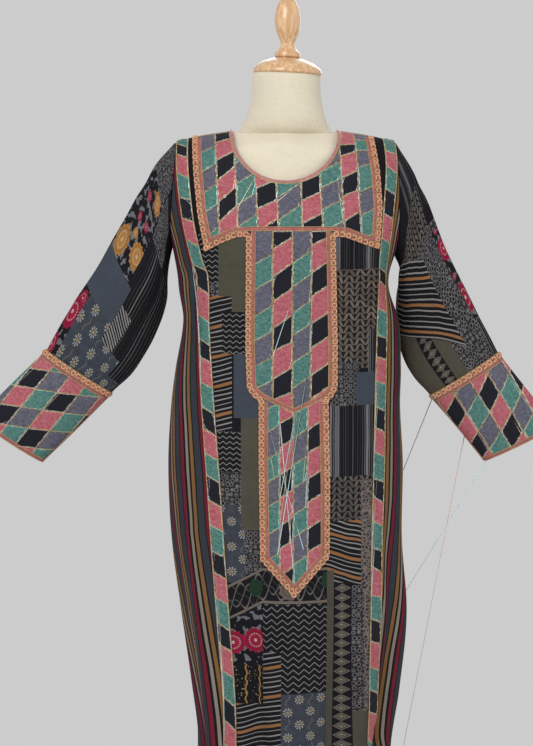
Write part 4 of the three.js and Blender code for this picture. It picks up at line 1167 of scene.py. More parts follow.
BACK_PATCHES = [
    ("black", -160, 0, 1500, 1380), ("crackle", 0, 160, 1500, 1390), ("olive", -160, -85, 1380, 1240),
    ("zigzag", -85, 0, 1380, 1290), ("daisies", 0, 80, 1390, 1270), ("pinstripe", 80, 160, 1390, 1300),
    ("bars", -85, -10, 1290, 1150), ("leaves", -160, -85, 1240, 1090), ("rings", -10, 70, 1270, 1190),
    ("slate", 70, 160, 1300, 1180), ("wide_zigzag", -10, 75, 1190, 1050), ("crackle", 75, 160, 1180, 1080),
    ("pinstripe", -85, -10, 1150, 1030), ("olive", -160, -85, 1090, 990), ("daisies", 75, 160, 1080, 930),
    ("dots", -85, 0, 1030, 930), ("dark_leaves", 0, 75, 1050, 900), ("rings", -160, -85, 990, 900),
    ("zigzag", -85, 0, 930, 800), ("bars", -160, -85, 900, 740), ("olive", 75, 160, 930, 820),
    ("slate", 0, 75, 900, 810), ("crackle", 75, 160, 820, 690), ("pinstripe", 0, 75, 810, 700),
    ("leaves", -85, 0, 800, 660), ("daisies", -160, -85, 740, 600), ("rings", 0, 80, 700, 590),
    ("bars", 80, 160, 690, 540), ("dots", -85, 0, 660, 570), ("wide_zigzag", -85, 10, 570, 430),
    ("olive", -160, -85, 600, 480), ("slate", 10, 80, 590, 500), ("pinstripe", 10, 80, 500, 390),
    ("leaves", 80, 160, 540, 400), ("crackle", -160, -85, 480, 350), ("daisies", -85, 10, 430, 300),
    ("zigzag", 10, 90, 390, 260), ("rings", 90, 160, 400, 290), ("bars", -160, -70, 350, 200),
    ("olive", -70, 10, 300, 200), ("dots", 90, 160, 290, 160), ("dark_leaves", 10, 90, 260, 130),
    ("wide_zigzag", -70, 10, 200, 53), ("pinstripe", -160, -70, 200, 53), ("slate", 10, 90, 130, 53),
    ("daisies", 90, 160, 160, 53),
]


def patch(bm, patches):
    """Divides the cloth along the patches' edges; colour_patches gives each its fabric afterwards.
    A patch with a sixth number has its upper and lower edge on that slope."""
    for _, x0, x1, top, bottom, *slope in patches:
        lean = slope[0] if slope else 0
        upright, level = (0, 1), (1, lean)
        edges = [((x0, 0), upright), ((x1, 0), upright), ((0, top), level), ((0, bottom), level)]
        for point, direction in edges:
            near = []
            for face in bm.faces:
                xs, ys = [v.co.x for v in face.verts], [v.co.y - lean * v.co.x for v in face.verts]
                if min(xs) < x1 and max(xs) > x0 and min(ys) < top and max(ys) > bottom:
                    near.append(face)
            if near:
                crease_line(bm, point, direction, near)


def colour_patches(bm, patches):
    for face in bm.faces:
        x, y = centre_of(face)
        for fabric, x0, x1, top, bottom, *slope in patches:
            lean = slope[0] if slope else 0
            if x0 <= x <= x1 and bottom <= y - lean * x <= top:
                face.material_index = FABRIC_NAMES.index(fabric)


def flat_area(bm):
    return sum(face.calc_area() for face in bm.faces) * MM * MM


def size_of(bm):
    xs, ys = [v.co.x for v in bm.verts], [v.co.y for v in bm.verts]
    return max(xs) - min(xs), max(ys) - min(ys)


# ---------------------------------------------------------------- dress form and stand
# z, half-width left and right, depth in front and behind, roundness
FORM_SECTIONS = [
    (760, 146, 146, 94, 104, 2.1), (768, 154, 154, 99, 112, 2.1), (830, 163, 163, 102, 118, 2.1),
    (900, 166, 166, 103, 116, 2.1), (980, 156, 156, 99, 106, 2.1), (1055, 133, 133, 93, 91, 2.1),
    (1125, 116, 116, 89, 82, 2.1), (1190, 130, 130, 101, 84, 2.1), (1245, 150, 150, 113, 89, 2.1),
    (1290, 163, 163, 115, 92, 2.1), (1335, 174, 174, 99, 92, 2.1), (1375, 181, 181, 84, 84, 2.1),
    (1400, 184, 184, 76, 78, 2.1), (1416, 185, 185, 71, 74, 2.1), (1426, 185, 185, 68, 71, 2.1),
    (1432, 184, 184, 66, 70, 2.0), (1436, 184, 184, 65, 69, 1.9), (1440, 184, 184, 64, 68, 1.8),
    (1443.5, 184, 184, 62, 66, 1.7), (1447, 184, 184, 61, 64, 1.6), (1450, 184, 184, 60, 62, 1.6),
    (1453, 84, 76, 43, 46, 1.6), (1459, 80, 72, 48, 51, 1.8), (1467, 76, 68, 52, 55, 1.9),
    (1478, 70, 64, 54, 57, 2.0), (1495, 65, 60, 56, 58, 2.0), (1516, 62, 57, 57, 58, 2.0),
    (1549, 60, 56, 57, 57, 2.0),
]
NECK_BASE_Z = 1452
NECK_TOP_Z = 1549
CAP_TILT_SLOPE = 0.045
CAP_TILT_FROM = 1500
CAP_TOP_Z = 1577
TORSO_BOTTOM_Z = 760
FOOT_RADIUS = 175
FOOT_THICKNESS = 28
POLE_RADIUS = 14
SEAT = WALL / 2 + 1.0


def form_ring(row, turns):
    z, left, right, front, back, roundness = row
    c, s = np.cos(turns), np.sin(turns)
    across = np.sign(c) * np.abs(c) ** (2 / roundness)
    x = np.where(c > 0, right, left) * across
    depth = np.where(s > 0, front, back) * np.abs(s) ** (2 / roundness)
    if z < NECK_BASE_Z:
        reach = max(v for v in range(300) if ridge(float(v)) - SEAT > z)
        reach_left = max(v for v in range(300) if ridge(float(-v)) - SEAT > z)
        x = np.where(c > 0, min(right, reach), min(left, reach_left)) * across
        drop = np.maximum(ridge(x) - SEAT - z, 0)
        roll = np.where(drop < SHOULDER_ROLL, np.sqrt(1 - np.clip(1 - drop / SHOULDER_ROLL, 0, 1) ** 2), 1)
        share = 0.58 + (0.94 - 0.58) * np.minimum(1, drop / 34)
        room_front = np.abs(level_outline(angle_of(x, z), z)[1]) * roll * share
        room_back = np.abs(level_outline(angle_of(x, z, True), z)[1]) * roll * share
        depth = np.minimum(depth, np.where(s < 0, room_back, room_front))
    tilt = max(0, (z - CAP_TILT_FROM) / (NECK_TOP_Z - CAP_TILT_FROM))
    return np.stack([x, -np.sign(s) * depth, z - CAP_TILT_SLOPE * tilt * x], -1)


def jersey():
    material, bench, shader = new_finish("cream_jersey", (0.60, 0.57, 0.49))
    place = bench.in_the_room()
    split = bench.add("ShaderNodeSeparateXYZ", {0: place})
    turn = bench.times(bench.math("ARCTAN2", split.outputs[1], split.outputs[0]), 60.0)
    ribs = bench.sine(bench.times(turn, 6.0))
    courses = bench.sine(bench.times(split.outputs[2], 2 * math.pi / 0.0016))
    soft = bench.mottle(place, 0.05, 3.0)
    fine = bench.mottle(place, 0.004, 3.0)
    tone = bench.sum(0.80, bench.times(soft, 0.16), bench.times(fine, 0.22), bench.times(courses, 0.015))
    bench.feed(shader.inputs["Base Color"], bench.shaded((0.76, 0.69, 0.53), tone))
    height = bench.sum(bench.times(ribs, 0.12), bench.times(courses, 0.15), bench.times(soft, 1.2))
    bench.bump(shader, height, 0.0007, 0.7)
    shader.inputs["Roughness"].default_value = 0.9
    shader.inputs["Sheen Weight"].default_value = 0.3
    return material


def beech():
    material, bench, shader = new_finish("lacquered_beech", (0.55, 0.33, 0.17))
    place = bench.in_the_room()
    long_rings, long_pores = (
        bench.add("ShaderNodeMapping", {"Vector": place, "Scale": (1.0, 1.0, along)}).outputs[0]
        for along in (0.09, 0.05)
    )
    rings = bench.mottle(long_rings, 0.016, 4.0)
    pores = bench.mottle(long_pores, 0.0011, 2.0)
    grain = bench.sine(bench.times(rings, 34.0))
    share = bench.sum(0.5, bench.times(grain, 0.32), bench.times(pores, 0.5), -0.25)
    bench.feed(shader.inputs["Base Color"], bench.blend(share, (0.55, 0.30, 0.13), (0.84, 0.56, 0.32)))
    bench.feed(shader.inputs["Roughness"], bench.sum(0.26, bench.times(pores, 0.18)))
    bench.bump(shader, pores, 0.0003, 0.35)
    shader.inputs["Coat Weight"].default_value = 0.5
    shader.inputs["Coat Roughness"].default_value = 0.12
    return material


JERSEY = jersey()
BEECH = beech()


def table_mesh(table, wrap=False):
    """A smooth skin over a table of places, from a plain grid."""
    columns, rows = table.shape[0], table.shape[1]
    bm = bmesh.new()
    bmesh.ops.create_grid(bm, x_segments=columns - 1, y_segments=rows - 1, size=0.5)
    for vert in bm.verts:
        i, j = round((vert.co.x + 0.5) * (columns - 1)), round((0.5 - vert.co.y) * (rows - 1))
        vert.co = Vector(table[i, j]) * MM
    if wrap:
        bmesh.ops.remove_doubles(bm, verts=bm.verts, dist=0.00002)
    return bm


def close_ends(bm):
    edges = [edge for edge in bm.edges if edge.is_boundary]
    bmesh.ops.holes_fill(bm, edges=edges, sides=0)
    bmesh.ops.recalc_face_normals(bm, faces=bm.faces[:])


def make_form():
    turns = np.linspace(0, 2 * math.pi, 97)
    rings = [form_ring(row, turns) for row in FORM_SECTIONS]
    fine = []
    for k, ring in enumerate(rings[:-1]):
        steps = 5 if FORM_SECTIONS[k + 1][0] - FORM_SECTIONS[k][0] > 20 else 1
        fine += [along_rings(rings, (k + t / steps) / (len(rings) - 1)) for t in range(steps)]
    fine.append(rings[-1])
    bm = table_mesh(np.stack(fine, 1), wrap=True)
    close_ends(bm)
    piece = to_object(bm, "form_body", [JERSEY])
    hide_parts("form_torso")


def turned(name, profile, node, tilted=False, steps=72):
    """A turned piece of wood: its profile, from the axis and back to it, spun round."""
    bm = bmesh.new()
    verts = [bm.verts.new((r * MM, 0, z * MM)) for r, z in profile]
    edges = [bm.edges.new(pair) for pair in zip(verts, verts[1:])]
    bmesh.ops.spin(
        bm, geom=verts + edges, axis=(0, 0, 1), cent=(0, 0, 0), steps=steps, angle=2 * math.pi, use_merge=True
    )
    bmesh.ops.remove_doubles(bm, verts=bm.verts, dist=0.00001)
    bmesh.ops.recalc_face_normals(bm, faces=bm.faces[:])
    if tilted:
        for vert in bm.verts:
            vert.co.z -= CAP_TILT_SLOPE * vert.co.x
    piece = to_object(bm, name, [BEECH])
    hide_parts(node)


def smooth_profile(points, steps=5):
    """More points along a turned profile, on curves between the given ones."""
    rings = [np.array([[r, z, 0.0]]) for r, z in points]
    count = (len(points) - 1) * steps
    return [tuple(along_rings(rings, t)[0][:2]) for t in np.linspace(0, 1, count + 1)]


def make_stand():
    low = NECK_TOP_Z + 0.3
    dome = smooth_profile(
        [(59, low + 2.5), (58, 1557), (52, 1563.5), (43, 1569), (32, 1573.5), (20, CAP_TOP_Z)]
    )
    turned("wooden_neck_cap", [(0, low), (56.5, low), *dome, (0, CAP_TOP_Z)], "neck_cap", True)
    low = CAP_TOP_Z + 0.3
    ring = [(21, low), (22, low + 3), (21, 1586)]
    knob = [
        (21, 1586), (15, 1592), (11.5, 1600), (15, 1609), (20, 1622), (22.3, 1640), (20, 1657),
        (15.5, 1669), (11, 1677), (9.5, 1683), (7, 1689), (0, 1692),
    ]
    turned("wooden_finial", [(0, low), *ring, *smooth_profile(knob)[1:-1], (0, 1692)], "finial", True)
    low, high = FOOT_THICKNESS + 0.3, TORSO_BOTTOM_Z - 0.3
    turned("wooden_pole", [(0, low), (POLE_RADIUS, low), (POLE_RADIUS, high), (0, high)], "pole", steps=40)
    edge = 7
    bend = np.linspace(0, math.pi / 2, 6)
    rim = [(FOOT_RADIUS - edge + edge * math.sin(a), edge - edge * math.cos(a)) for a in bend]
    upper = [(r, FOOT_THICKNESS - z) for r, z in reversed(rim)]
    turned("wooden_foot", [(0, 0), *rim, *upper, (0, FOOT_THICKNESS)], "foot", steps=96)


# ---------------------------------------------------------------- the body of the garment
def seam_run(seam, side, from_w, to_w, step=12, behind=False):
    """The line of a princess seam on the flat cloth."""
    run = []
    for w in np.linspace(from_w, to_w, int(abs(to_w - from_w) / step) + 2):
        x = side * 160.0
        for _ in range(6):
            z = roll_at(x, w)[0]
            x = float(plain_x(angle_of(side * seam(z), z, behind), z))
        run.append((x, float(w)))
    return run


def top_w(x):
    return float(ridge(x)) + OVER_RIDGE


def neck_run(drop, room=0.0, count=60):
    """The neckline on the flat cloth, from the left neck point to the right one."""
    run = []
    for t in np.linspace(0, 1, count + 1):
        turn = math.pi * (1 - t)
        x = NECK_CENTRE + (NECK_HALF_WIDTH + room) * math.cos(turn)
        z = NECK_POINT_Z - (drop + room) * math.sin(turn)
        run.append((x, float(cloth_height(x, z))))
    return run


def centre_outline(seam_left, seam_right, drop, behind):
    left = seam_run(seam_left, -1, top_w(-170), HEM_Z, behind=behind)
    right = seam_run(seam_right, 1, HEM_Z, top_w(170), behind=behind)
    left[0] = (left[0][0], top_w(left[0][0]))
    right[-1] = (right[-1][0], top_w(right[-1][0]))
    shoulder = lambda a, b: [(x, top_w(x)) for x in np.linspace(a, b, 12)[1:-1]]
    neck = neck_run(drop)
    return left + right + shoulder(right[-1][0], neck[-1][0]) + neck[::-1] + shoulder(neck[0][0], left[0][0])


def make_centre(name, node, outline, patches, behind):
    bm = cut_flat(outline)
    patch(bm, patches)
    crease_grid(bm, 6.0)
    colour_patches(bm, patches)
    size, area = size_of(bm), flat_area(bm)
    lay(bm, lay_centre(0.0, behind))
    piece = give_thickness(to_object(bm, name, [FABRIC[f] for f in FABRIC_NAMES]), WALL)
    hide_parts(node)


STRIPED = {
    "left": printed("striped_cotton_left", side_stripes(-13.0)),
    "right": printed("striped_cotton_right", side_stripes(6.0)),
}


def make_side(node, seam, side, behind):
    table = side_table(seam, ARMHOLES[side], behind)
    width, length = 100.0, 1480.0
    bm = bmesh.new()
    bmesh.ops.create_grid(bm, x_segments=26, y_segments=246, size=0.5)
    for vert in bm.verts:
        vert.co = ((vert.co.x + 0.5) * width, (vert.co.y - 0.5) * length, 0)
    run = np.linalg.norm(np.diff(table, axis=0), axis=2)
    across = np.concatenate([np.zeros((1, table.shape[1])), np.cumsum(run, 0)])
    drop = np.linalg.norm(np.diff(table, axis=1), axis=2)
    down = np.concatenate([np.zeros((table.shape[0], 1)), np.cumsum(drop, 1)], 1)
    measure = lay_table(np.stack([across, -down, 0 * down], -1), width, length, np.ones_like(table))
    lay(bm, lay_table(table, width, length), lambda flat: measure(flat)[0][:, :2])
    area = sum(face.calc_area() for face in bm.faces)
    piece = give_thickness(to_object(bm, node + "_cloth", [STRIPED[side]]), WALL)
    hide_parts(node)


# ---------------------------------------------------------------- embroidered diamonds
CODE = {"T": T, "P": P, "N": N, "H": H}
# the raised border of a cell and its height, and the size under which a cell has none
BORDER = 1.1
PUFF = 0.5
SMALLEST = 3.2
SQUARE = 5.0
CORD_STEP = 5.0
SEQUIN_SPACING = 9.0
SEQUIN_PLACES = {T: [], P: [], N: [], H: []}
dice = random.Random(11)


def straight(a, b):
    """x of the straight line through two places of the cloth, for a height."""
    return lambda w: a[0] + (b[0] - a[0]) * (w - a[1]) / (b[1] - a[1])


class Lattice:
    """Slanted cells in columns: the columns' edges, each column's row lines from the top, and its colours."""

    def __init__(self, edges, rows, colours):
        self.edges = edges
        self.rows = rows
        self.colours = colours

    def column(self, x, w):
        return sum(x > edge(w) for edge in self.edges[1:-1])

    def cell(self, x, w):
        k = self.column(x, w)
        passed = 0
        for left, right in self.rows[k]:
            x_left, x_right = self.edges[k](left), self.edges[k + 1](right)
            passed += w < left + (right - left) * (x - x_left) / (x_right - x_left)
        return self.colours[k][min(passed, len(self.colours[k]) - 1)]

    def divide(self, bm):
        span = [v.co.y for v in bm.verts]
        for edge in self.edges[1:-1]:
            top, bottom = (edge(max(span)), max(span)), (edge(min(span)), min(span))
            crease_line(bm, top, np.subtract(bottom, top))
        for k, lines in enumerate(self.rows):
            for left, right in lines:
                a, b = (self.edges[k](left), left), (self.edges[k + 1](right), right)
                faces = [face for face in bm.faces if self.column(*centre_of(face)) == k]
                if faces:
                    crease_line(bm, a, np.subtract(b, a), faces)


def diamonds_bm(outline, lattice):
    """Flat embroidery: its cloth, the seams between its cells, and each cell's corners and colour."""
    bm = cut_flat(outline)
    lattice.divide(bm)
    for face in bm.faces:
        face.material_index = lattice.cell(*centre_of(face))
    seams = [[tuple(v.co[:2]) for v in edge.verts] for edge in bm.edges]
    cells = [([tuple(v.co[:2]) for v in face.verts], face.material_index) for face in bm.faces]
    wide = [face for face in bm.faces if 2 * face.calc_area() > SMALLEST * face.calc_perimeter()]
    limits = [(np.min([v.co[:2] for v in f.verts], 0), np.max([v.co[:2] for v in f.verts], 0)) for f in wide]
    for layer, depth in ((0, 0.0), (1, PUFF)):
        bmesh.ops.inset_individual(bm, faces=wide, thickness=BORDER, depth=depth, use_even_offset=False)
        inner = set(wide)
        for face, (low, high) in zip(wide, limits):
            for v in face.verts:
                v.co.x = min(max(v.co.x, low[0]), high[0])
                v.co.y = min(max(v.co.y, low[1]), high[1])
        for face in wide:
            for edge in face.edges:
                for other in edge.link_faces:
                    if other not in inner:
                        other.material_index = BORDERS[face.material_index][layer]
    crease_grid(bm, SQUARE)
    return bm, seams, cells


def couch(name, runs, place, radius=0.7, rise=0.9, material=GOLD_THREAD):
    """Cord sewn down along runs of places on the flat cloth."""
    lines = []
    for run in runs:
        spots, normals = place(spaced(run, CORD_STEP))
        lines.append(spots + normals * rise)
    thread_mesh(name, lines, radius, material)


def note_sequins(cells, place):
    """Places for sequins round each cell, just inside its seams."""
    for corners, colour in cells:
        middle = np.mean(corners, 0)
        flat = []
        for a, b in zip(corners, corners[1:] + corners[:1]):
            a, b = np.array(a), np.array(b)
            count = int(np.linalg.norm(b - a) / SEQUIN_SPACING + dice.random())
            for k in range(count):
                spot = a + (b - a) * (k + dice.random()) / count
                flat.append(spot + (middle - spot) * 1.6 / np.linalg.norm(middle - spot))
        if flat:
            spots, normals = place(np.array(flat))
            SEQUIN_PLACES[colour] += list(zip(spots + normals * 0.9, normals))


def make_sequins():
    for colour, name in ((T, "turquoise"), (P, "peach"), (N, "silver"), (H, "gold")):
        unit = bmesh.new()
        bmesh.ops.create_cone(
            unit, cap_ends=True, segments=6, radius1=1.0 * MM, radius2=0.5 * MM, depth=0.5 * MM
        )
        places = []
        for spot, normal in SEQUIN_PLACES[colour]:
            tilt = Vector([dice.uniform(-0.3, 0.3) for _ in range(3)])
            turn = (Vector(normal) + tilt).to_track_quat("Z", "Y").to_matrix().to_4x4()
            places.append(Matrix.Translation(Vector(spot) * MM) @ turn)
        to_object(copies(unit, places), name + "_sequins", [SEQUIN[colour]])


def make_embroidery(name, node, outline, lattice, place, wrap=False):
    bm, seams, cells = diamonds_bm(outline, lattice)
    size, area = size_of(bm), flat_area(bm)
    couch(name + "_gold_cord", seams, place)
    note_sequins(cells, place)
    lay(bm, place)
    if wrap:
        bmesh.ops.remove_doubles(bm, verts=bm.verts, dist=0.00005)
    piece = give_thickness(to_object(bm, name, EMBROIDERY), TRIM)
    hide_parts(node)


def straight_edges(tops, bottoms, top, bottom):
    return [straight((a, top), (b, bottom)) for a, b in zip(tops, bottoms)]


def codes(*words):
    return [[CODE[letter] for letter in word] for word in words]


YOKE_LATTICE = Lattice(
    straight_edges(
        (-185, -122.5, -90.9, -59.0, -23.6, 18.0, 49.4, 84.8, 113.1, 175.0),
        (-172, -113.4, -81.6, -49.6, -14.8, 23.9, 57.9, 93.3, 121.6, 181.0), 1445, 1279,
    ),
    [
        [(1398, 1431), (1361, 1397), (1326, 1363), (1290, 1330), (1250, 1293)],
        [(1439, 1450), (1403, 1419), (1368, 1391), (1333, 1358), (1300, 1326), (1266, 1289)],
        [(1395, 1418), (1363, 1382), (1327, 1348), (1293, 1313)],
        [(1356, 1371), (1321, 1336), (1285, 1306)],
        [(1340, 1364), (1304, 1329)],
        [(1390, 1404), (1367, 1380), (1335, 1349), (1299, 1314)],
        [(1383, 1400), (1356, 1372), (1321, 1337), (1285, 1301)],
        [(1432, 1436), (1409, 1419), (1373, 1385), (1342, 1353), (1302, 1317)],
        [(1448, 1446), (1421, 1427), (1390, 1410), (1349, 1376), (1311, 1338), (1271, 1300)],
    ],
    codes("HTHTHT", "NPNPNPN", "THTHT", "PNPN", "THT", "NPNPN", "HTHTH", "PNPNPN", "HTHTHTH"),
)
UPPER_LATTICE = Lattice(
    straight_edges((-56.5, -25.6, 7.4, 37.9, 67.6), (-56.5, -25.6, 7.4, 37.9, 67.6), 1300, 1000),
    [
        [(1232, 1248), (1189, 1206), (1144, 1164), (1102, 1120), (1060, 1076), (1020, 1037)],
        [(1257, 1275), (1211, 1234), (1170, 1191), (1125, 1147), (1086, 1101), (1040, 1059), (1004, 1016)],
        [(1234, 1254), (1194, 1215), (1151, 1172), (1112, 1132), (1067, 1086), (1023, 1044)],
        [(1263, 1276), (1218, 1237), (1178, 1196), (1133, 1151), (1091, 1110), (1046, 1065), (1005, 1025)],
    ],
    codes("HTHTHTH", "NPNPNPNP", "HTHTHTH", "NPNPNPNP"),
)
LOWER_LATTICE = Lattice(
    straight_edges((-35.2, -14.1, 9.5, 32.8, 55.7), (-35.2, -14.1, 9.5, 32.8, 55.7), 1000, 700),
    [
        [(988, 1000), (948, 962), (904, 916), (863, 876), (822, 835), (774, 787), (732, 744)],
        [(965, 977), (923, 938), (878, 892), (837, 852), (791, 805), (751, 765), (707, 720)],
        [(980, 995), (939, 955), (895, 908), (854, 870), (810, 824), (770, 786), (726, 740)],
        [(954, 968), (914, 926), (871, 884), (830, 843), (786, 800), (746, 758), (708, 720)],
    ],
    codes("HTHTHTHT", "PNPNPNPN", "HTHTHTHT", "PNPNPNPN"),
)

BRAID_WIDTH = 9.0
SEAM_GAP = 0.3
# the braid's outer edge, as x and z seen from the front
BRAID_PATHS = {
    "left": [
        (-162, 1480), (-162, 1437), (-158, 1380), (-151, 1314), (-138, 1251), (-112, 1265), (-86, 1275.5),
        (-69.5, 1276.5), (-71, 1092), (-68.5, 1023), (-61, 1011), (-49, 1001),
    ],
    "right": [
        (146, 1480), (146, 1440), (154, 1385), (158, 1325), (153, 1254), (122, 1265), (94, 1275.5),
        (78, 1276.5), (83, 1092), (83, 1023), (77, 1011), (68, 1001),
    ],
    "lower": [(-49, 1000.4), (-49, 897), (-46.5, 732), (11, 668), (71, 735), (71, 860), (68, 1000.4)],
}
PLACKET_POINT = (10, 983)
YOKE_BELOW_RIDGE = 3.5
BINDING_ROOM = 3.5
PANEL_INSET = BRAID_WIDTH + SEAM_GAP
inside_left = beside(BRAID_PATHS["left"], -PANEL_INSET)
inside_right = beside(BRAID_PATHS["right"], PANEL_INSET)
inside_lower = beside(BRAID_PATHS["lower"], -PANEL_INSET)


def to_cloth(points):
    """Places seen from the front, as places on the flat cloth."""
    made = []
    for x, z in points:
        x = float(x)
        made.append((x, float(cloth_height(x, min(float(z), float(ridge(x)))))))
    return made


def yoke_edge_w(x):
    return float(cloth_height(x, float(ridge(x)) - YOKE_BELOW_RIDGE))


def yoke_sides():
    """The yoke's edge beside the braid: down its left side, along its foot and up its right side."""
    left = [p for p in to_cloth(spaced(inside_left[:5], 6)) if p[1] < yoke_edge_w(p[0]) - 1]
    right = [p for p in to_cloth(spaced(inside_right[:5], 6)) if p[1] < yoke_edge_w(p[0]) - 1]
    foot = to_cloth(inside_left[5:8]) + to_cloth(inside_right[5:8])[::-1]
    return left + foot + right[::-1]


def yoke_outline():
    neck = [p for p in neck_run(NECK_FRONT_DROP, BINDING_ROOM, 48) if p[1] < yoke_edge_w(p[0])]
    left_x, right_x = float(inside_left[0][0]), float(inside_right[0][0])
    shoulder_left = [(x, yoke_edge_w(x)) for x in np.linspace(neck[0][0] - 0.5, left_x, 8)]
    shoulder_right = [(x, yoke_edge_w(x)) for x in np.linspace(right_x, neck[-1][0] + 0.5, 8)]
    return shoulder_left + yoke_sides() + shoulder_right + neck[::-1]


def upper_sides():
    left, right = ([tuple(p) for p in points] for points in (inside_left[8:], inside_right[:7:-1]))
    first, last = (tuple(np.subtract(points[7], (0, SEAM_GAP))) for points in (inside_left, inside_right))
    return [first] + left + [PLACKET_POINT] + right + [last]


def lower_outline():
    def under(x, end):
        t = (x - PLACKET_POINT[0]) / (end[0] - PLACKET_POINT[0])
        return x, PLACKET_POINT[1] + (end[1] - PLACKET_POINT[1]) * t - 2 * SEAM_GAP

    right_top = under(inside_lower[-1][0], inside_right[-1])
    left_top = under(inside_lower[0][0], inside_left[-1])
    point = (PLACKET_POINT[0], PLACKET_POINT[1] - 2 * SEAM_GAP)
    return [tuple(p) for p in inside_lower] + [right_top, point, left_top]


TAPE_WIDTH = 6.0
TAPE_LIFT = 1.0
TAPE_THICKNESS = 0.8


def lay_tape(name, edge):
    """Pink tape along an edge of the embroidery, to the left of the edge's direction, between gold cords."""
    inner = [tuple(p) for p in beside(edge, -TAPE_WIDTH)]
    middle = [tuple(p) for p in beside(edge, -TAPE_WIDTH / 2)]
    bm = cut_flat(list(edge) + inner[::-1])
    crease_grid(bm, SQUARE)
    lay(bm, lay_centre(TRIM_LIFT + TAPE_LIFT))
    give_thickness(to_object(bm, name, [PINK_TAPE]), TAPE_THICKNESS)
    couch(name + "_gold_cord", [edge, inner], lay_centre(TRIM_LIFT + TAPE_LIFT), 0.7, 0.5)
    couch(name + "_middle_cord", [middle], lay_centre(TRIM_LIFT + TAPE_LIFT), 0.5, 0.5, PIPING)


# Where the bands' diamonds meet, as heights at the band's left and right edge; below, they repeat.
BAND_ROWS = {
    "left": [
        (1447, 1436), (1418, 1410), (1382, 1373), (1341, 1337), (1306, 1300), (1271, 1260), (1229, 1220),
        (1191, 1180), (1145, 1132), (1104, 1093), (1072, 1064), (1030, 1021), (988, 978),
        (952, 940), (910, 899),
        (872, 861), (830, 819), (787, 778), (742, 735), (706, 696), (663, 652), (620, 607),
        (581, 571), (536, 526),
        (490, 475),
    ],
    "right": [
        (1426, 1418), (1394, 1380), (1355, 1345), (1313, 1304), (1273, 1264), (1224, 1212), (1200, 1187),
        (1153, 1145), (1109, 1103), (1072, 1066), (1031, 1024), (988, 978), (952, 941),
        (910, 900), (865, 857),
        (833, 820), (792, 781), (747, 737), (714, 699), (664, 657), (624, 615), (585, 576),
        (540, 530), (500, 489),
        (459, 449), (408, 388),
    ],
}
BAND_STEP = 41.7
BAND_WIDTH = 24.0


def band_table(seam, side, levels, across=9):
    """Places over a princess seam, by their distance from it along the cloth and their level."""
    columns = []
    for shift in np.linspace(-BAND_WIDTH / 2, BAND_WIDTH / 2, across):
        z = roll_at(side * seam(levels), levels)[0]
        theta = angle_of(side * seam(z), z)
        ahead, here = (np.stack(level_outline(angle, z), -1) for angle in (theta + 0.01, theta))
        theta = theta - 0.01 * shift / np.linalg.norm(ahead - here, axis=1)
        x, y = level_outline(theta, z)
        drop = np.clip(ridge(x) - z, 0, SHOULDER_ROLL)
        columns.append(np.stack([x, y * np.sqrt(1 - (1 - drop / SHOULDER_ROLL) ** 2), z], -1))
    return np.array(columns)


def make_band(name, seam, side):
    rows = list(BAND_ROWS[name])
    while rows[-1][0] > HEM_Z:
        rows.append((rows[-1][0] - BAND_STEP, rows[-1][1] - BAND_STEP))
    if name == "left":
        colours = [T] + [(N, P, T)[k % 3] for k in range(len(rows))]
    else:
        colours = [T, P] + [(T, N, P)[k % 3] for k in range(len(rows))]
    high = top_w(side * 175) - 6
    length = high - HEM_Z - 0.4
    table = band_table(seam, side, np.linspace(high, high - length, 300))
    lines = [(left - high, right - high) for left, right in rows]
    lattice = Lattice([lambda w: 0.0, lambda w: BAND_WIDTH], [lines], [colours])
    outline = [(0, 0), (0, -length), (BAND_WIDTH, -length), (BAND_WIDTH, 0)]
    place = lay_table(table, BAND_WIDTH, length, lift=TRIM_LIFT)
    make_embroidery("embroidered_band_" + name, "band_" + name, outline, lattice, place)


# ---------------------------------------------------------------- sleeves and cuffs
SLEEVE_WIDTH = 380.0
SLEEVE_LENGTH = 330.0
CUFF_WIDTH = 294.0
CUFF_LENGTH = 172.0


def even_turns(flatness, count=121):
    """Turns round an ellipse, from its back, that are the same length of cloth apart."""
    fine = np.linspace(-math.pi / 2, 1.5 * math.pi, 2001)
    middle = (fine[1:] + fine[:-1]) / 2
    run = np.concatenate([[0], np.cumsum(np.hypot(np.sin(middle), flatness * np.cos(middle)))])
    return np.interp(np.linspace(0, run[-1], count), run, fine)


SLEEVE_TURNS = even_turns(0.4)
CUFF_TURNS = even_turns(0.28)
INNER_EDGE = 90


def sleeve_table(name):
    rings = [armhole_ring(ARMHOLES[name], SLEEVE_TURNS)]
    rings += [sleeve_ring(row, SLEEVE_TURNS) for row in SLEEVE_RINGS[name]]
    return tube_table(rings, SLEEVE_TURNS, 90, sleeve_creases)


def cuff_table(name):
    seam = SLEEVE_RINGS[name][-1]
    rows = [between_rows(seam, CUFF_RINGS[name][0], SEAM_GAP), *CUFF_RINGS[name]]
    return tube_table([sleeve_ring(row, CUFF_TURNS) for row in rows], CUFF_TURNS, 40)


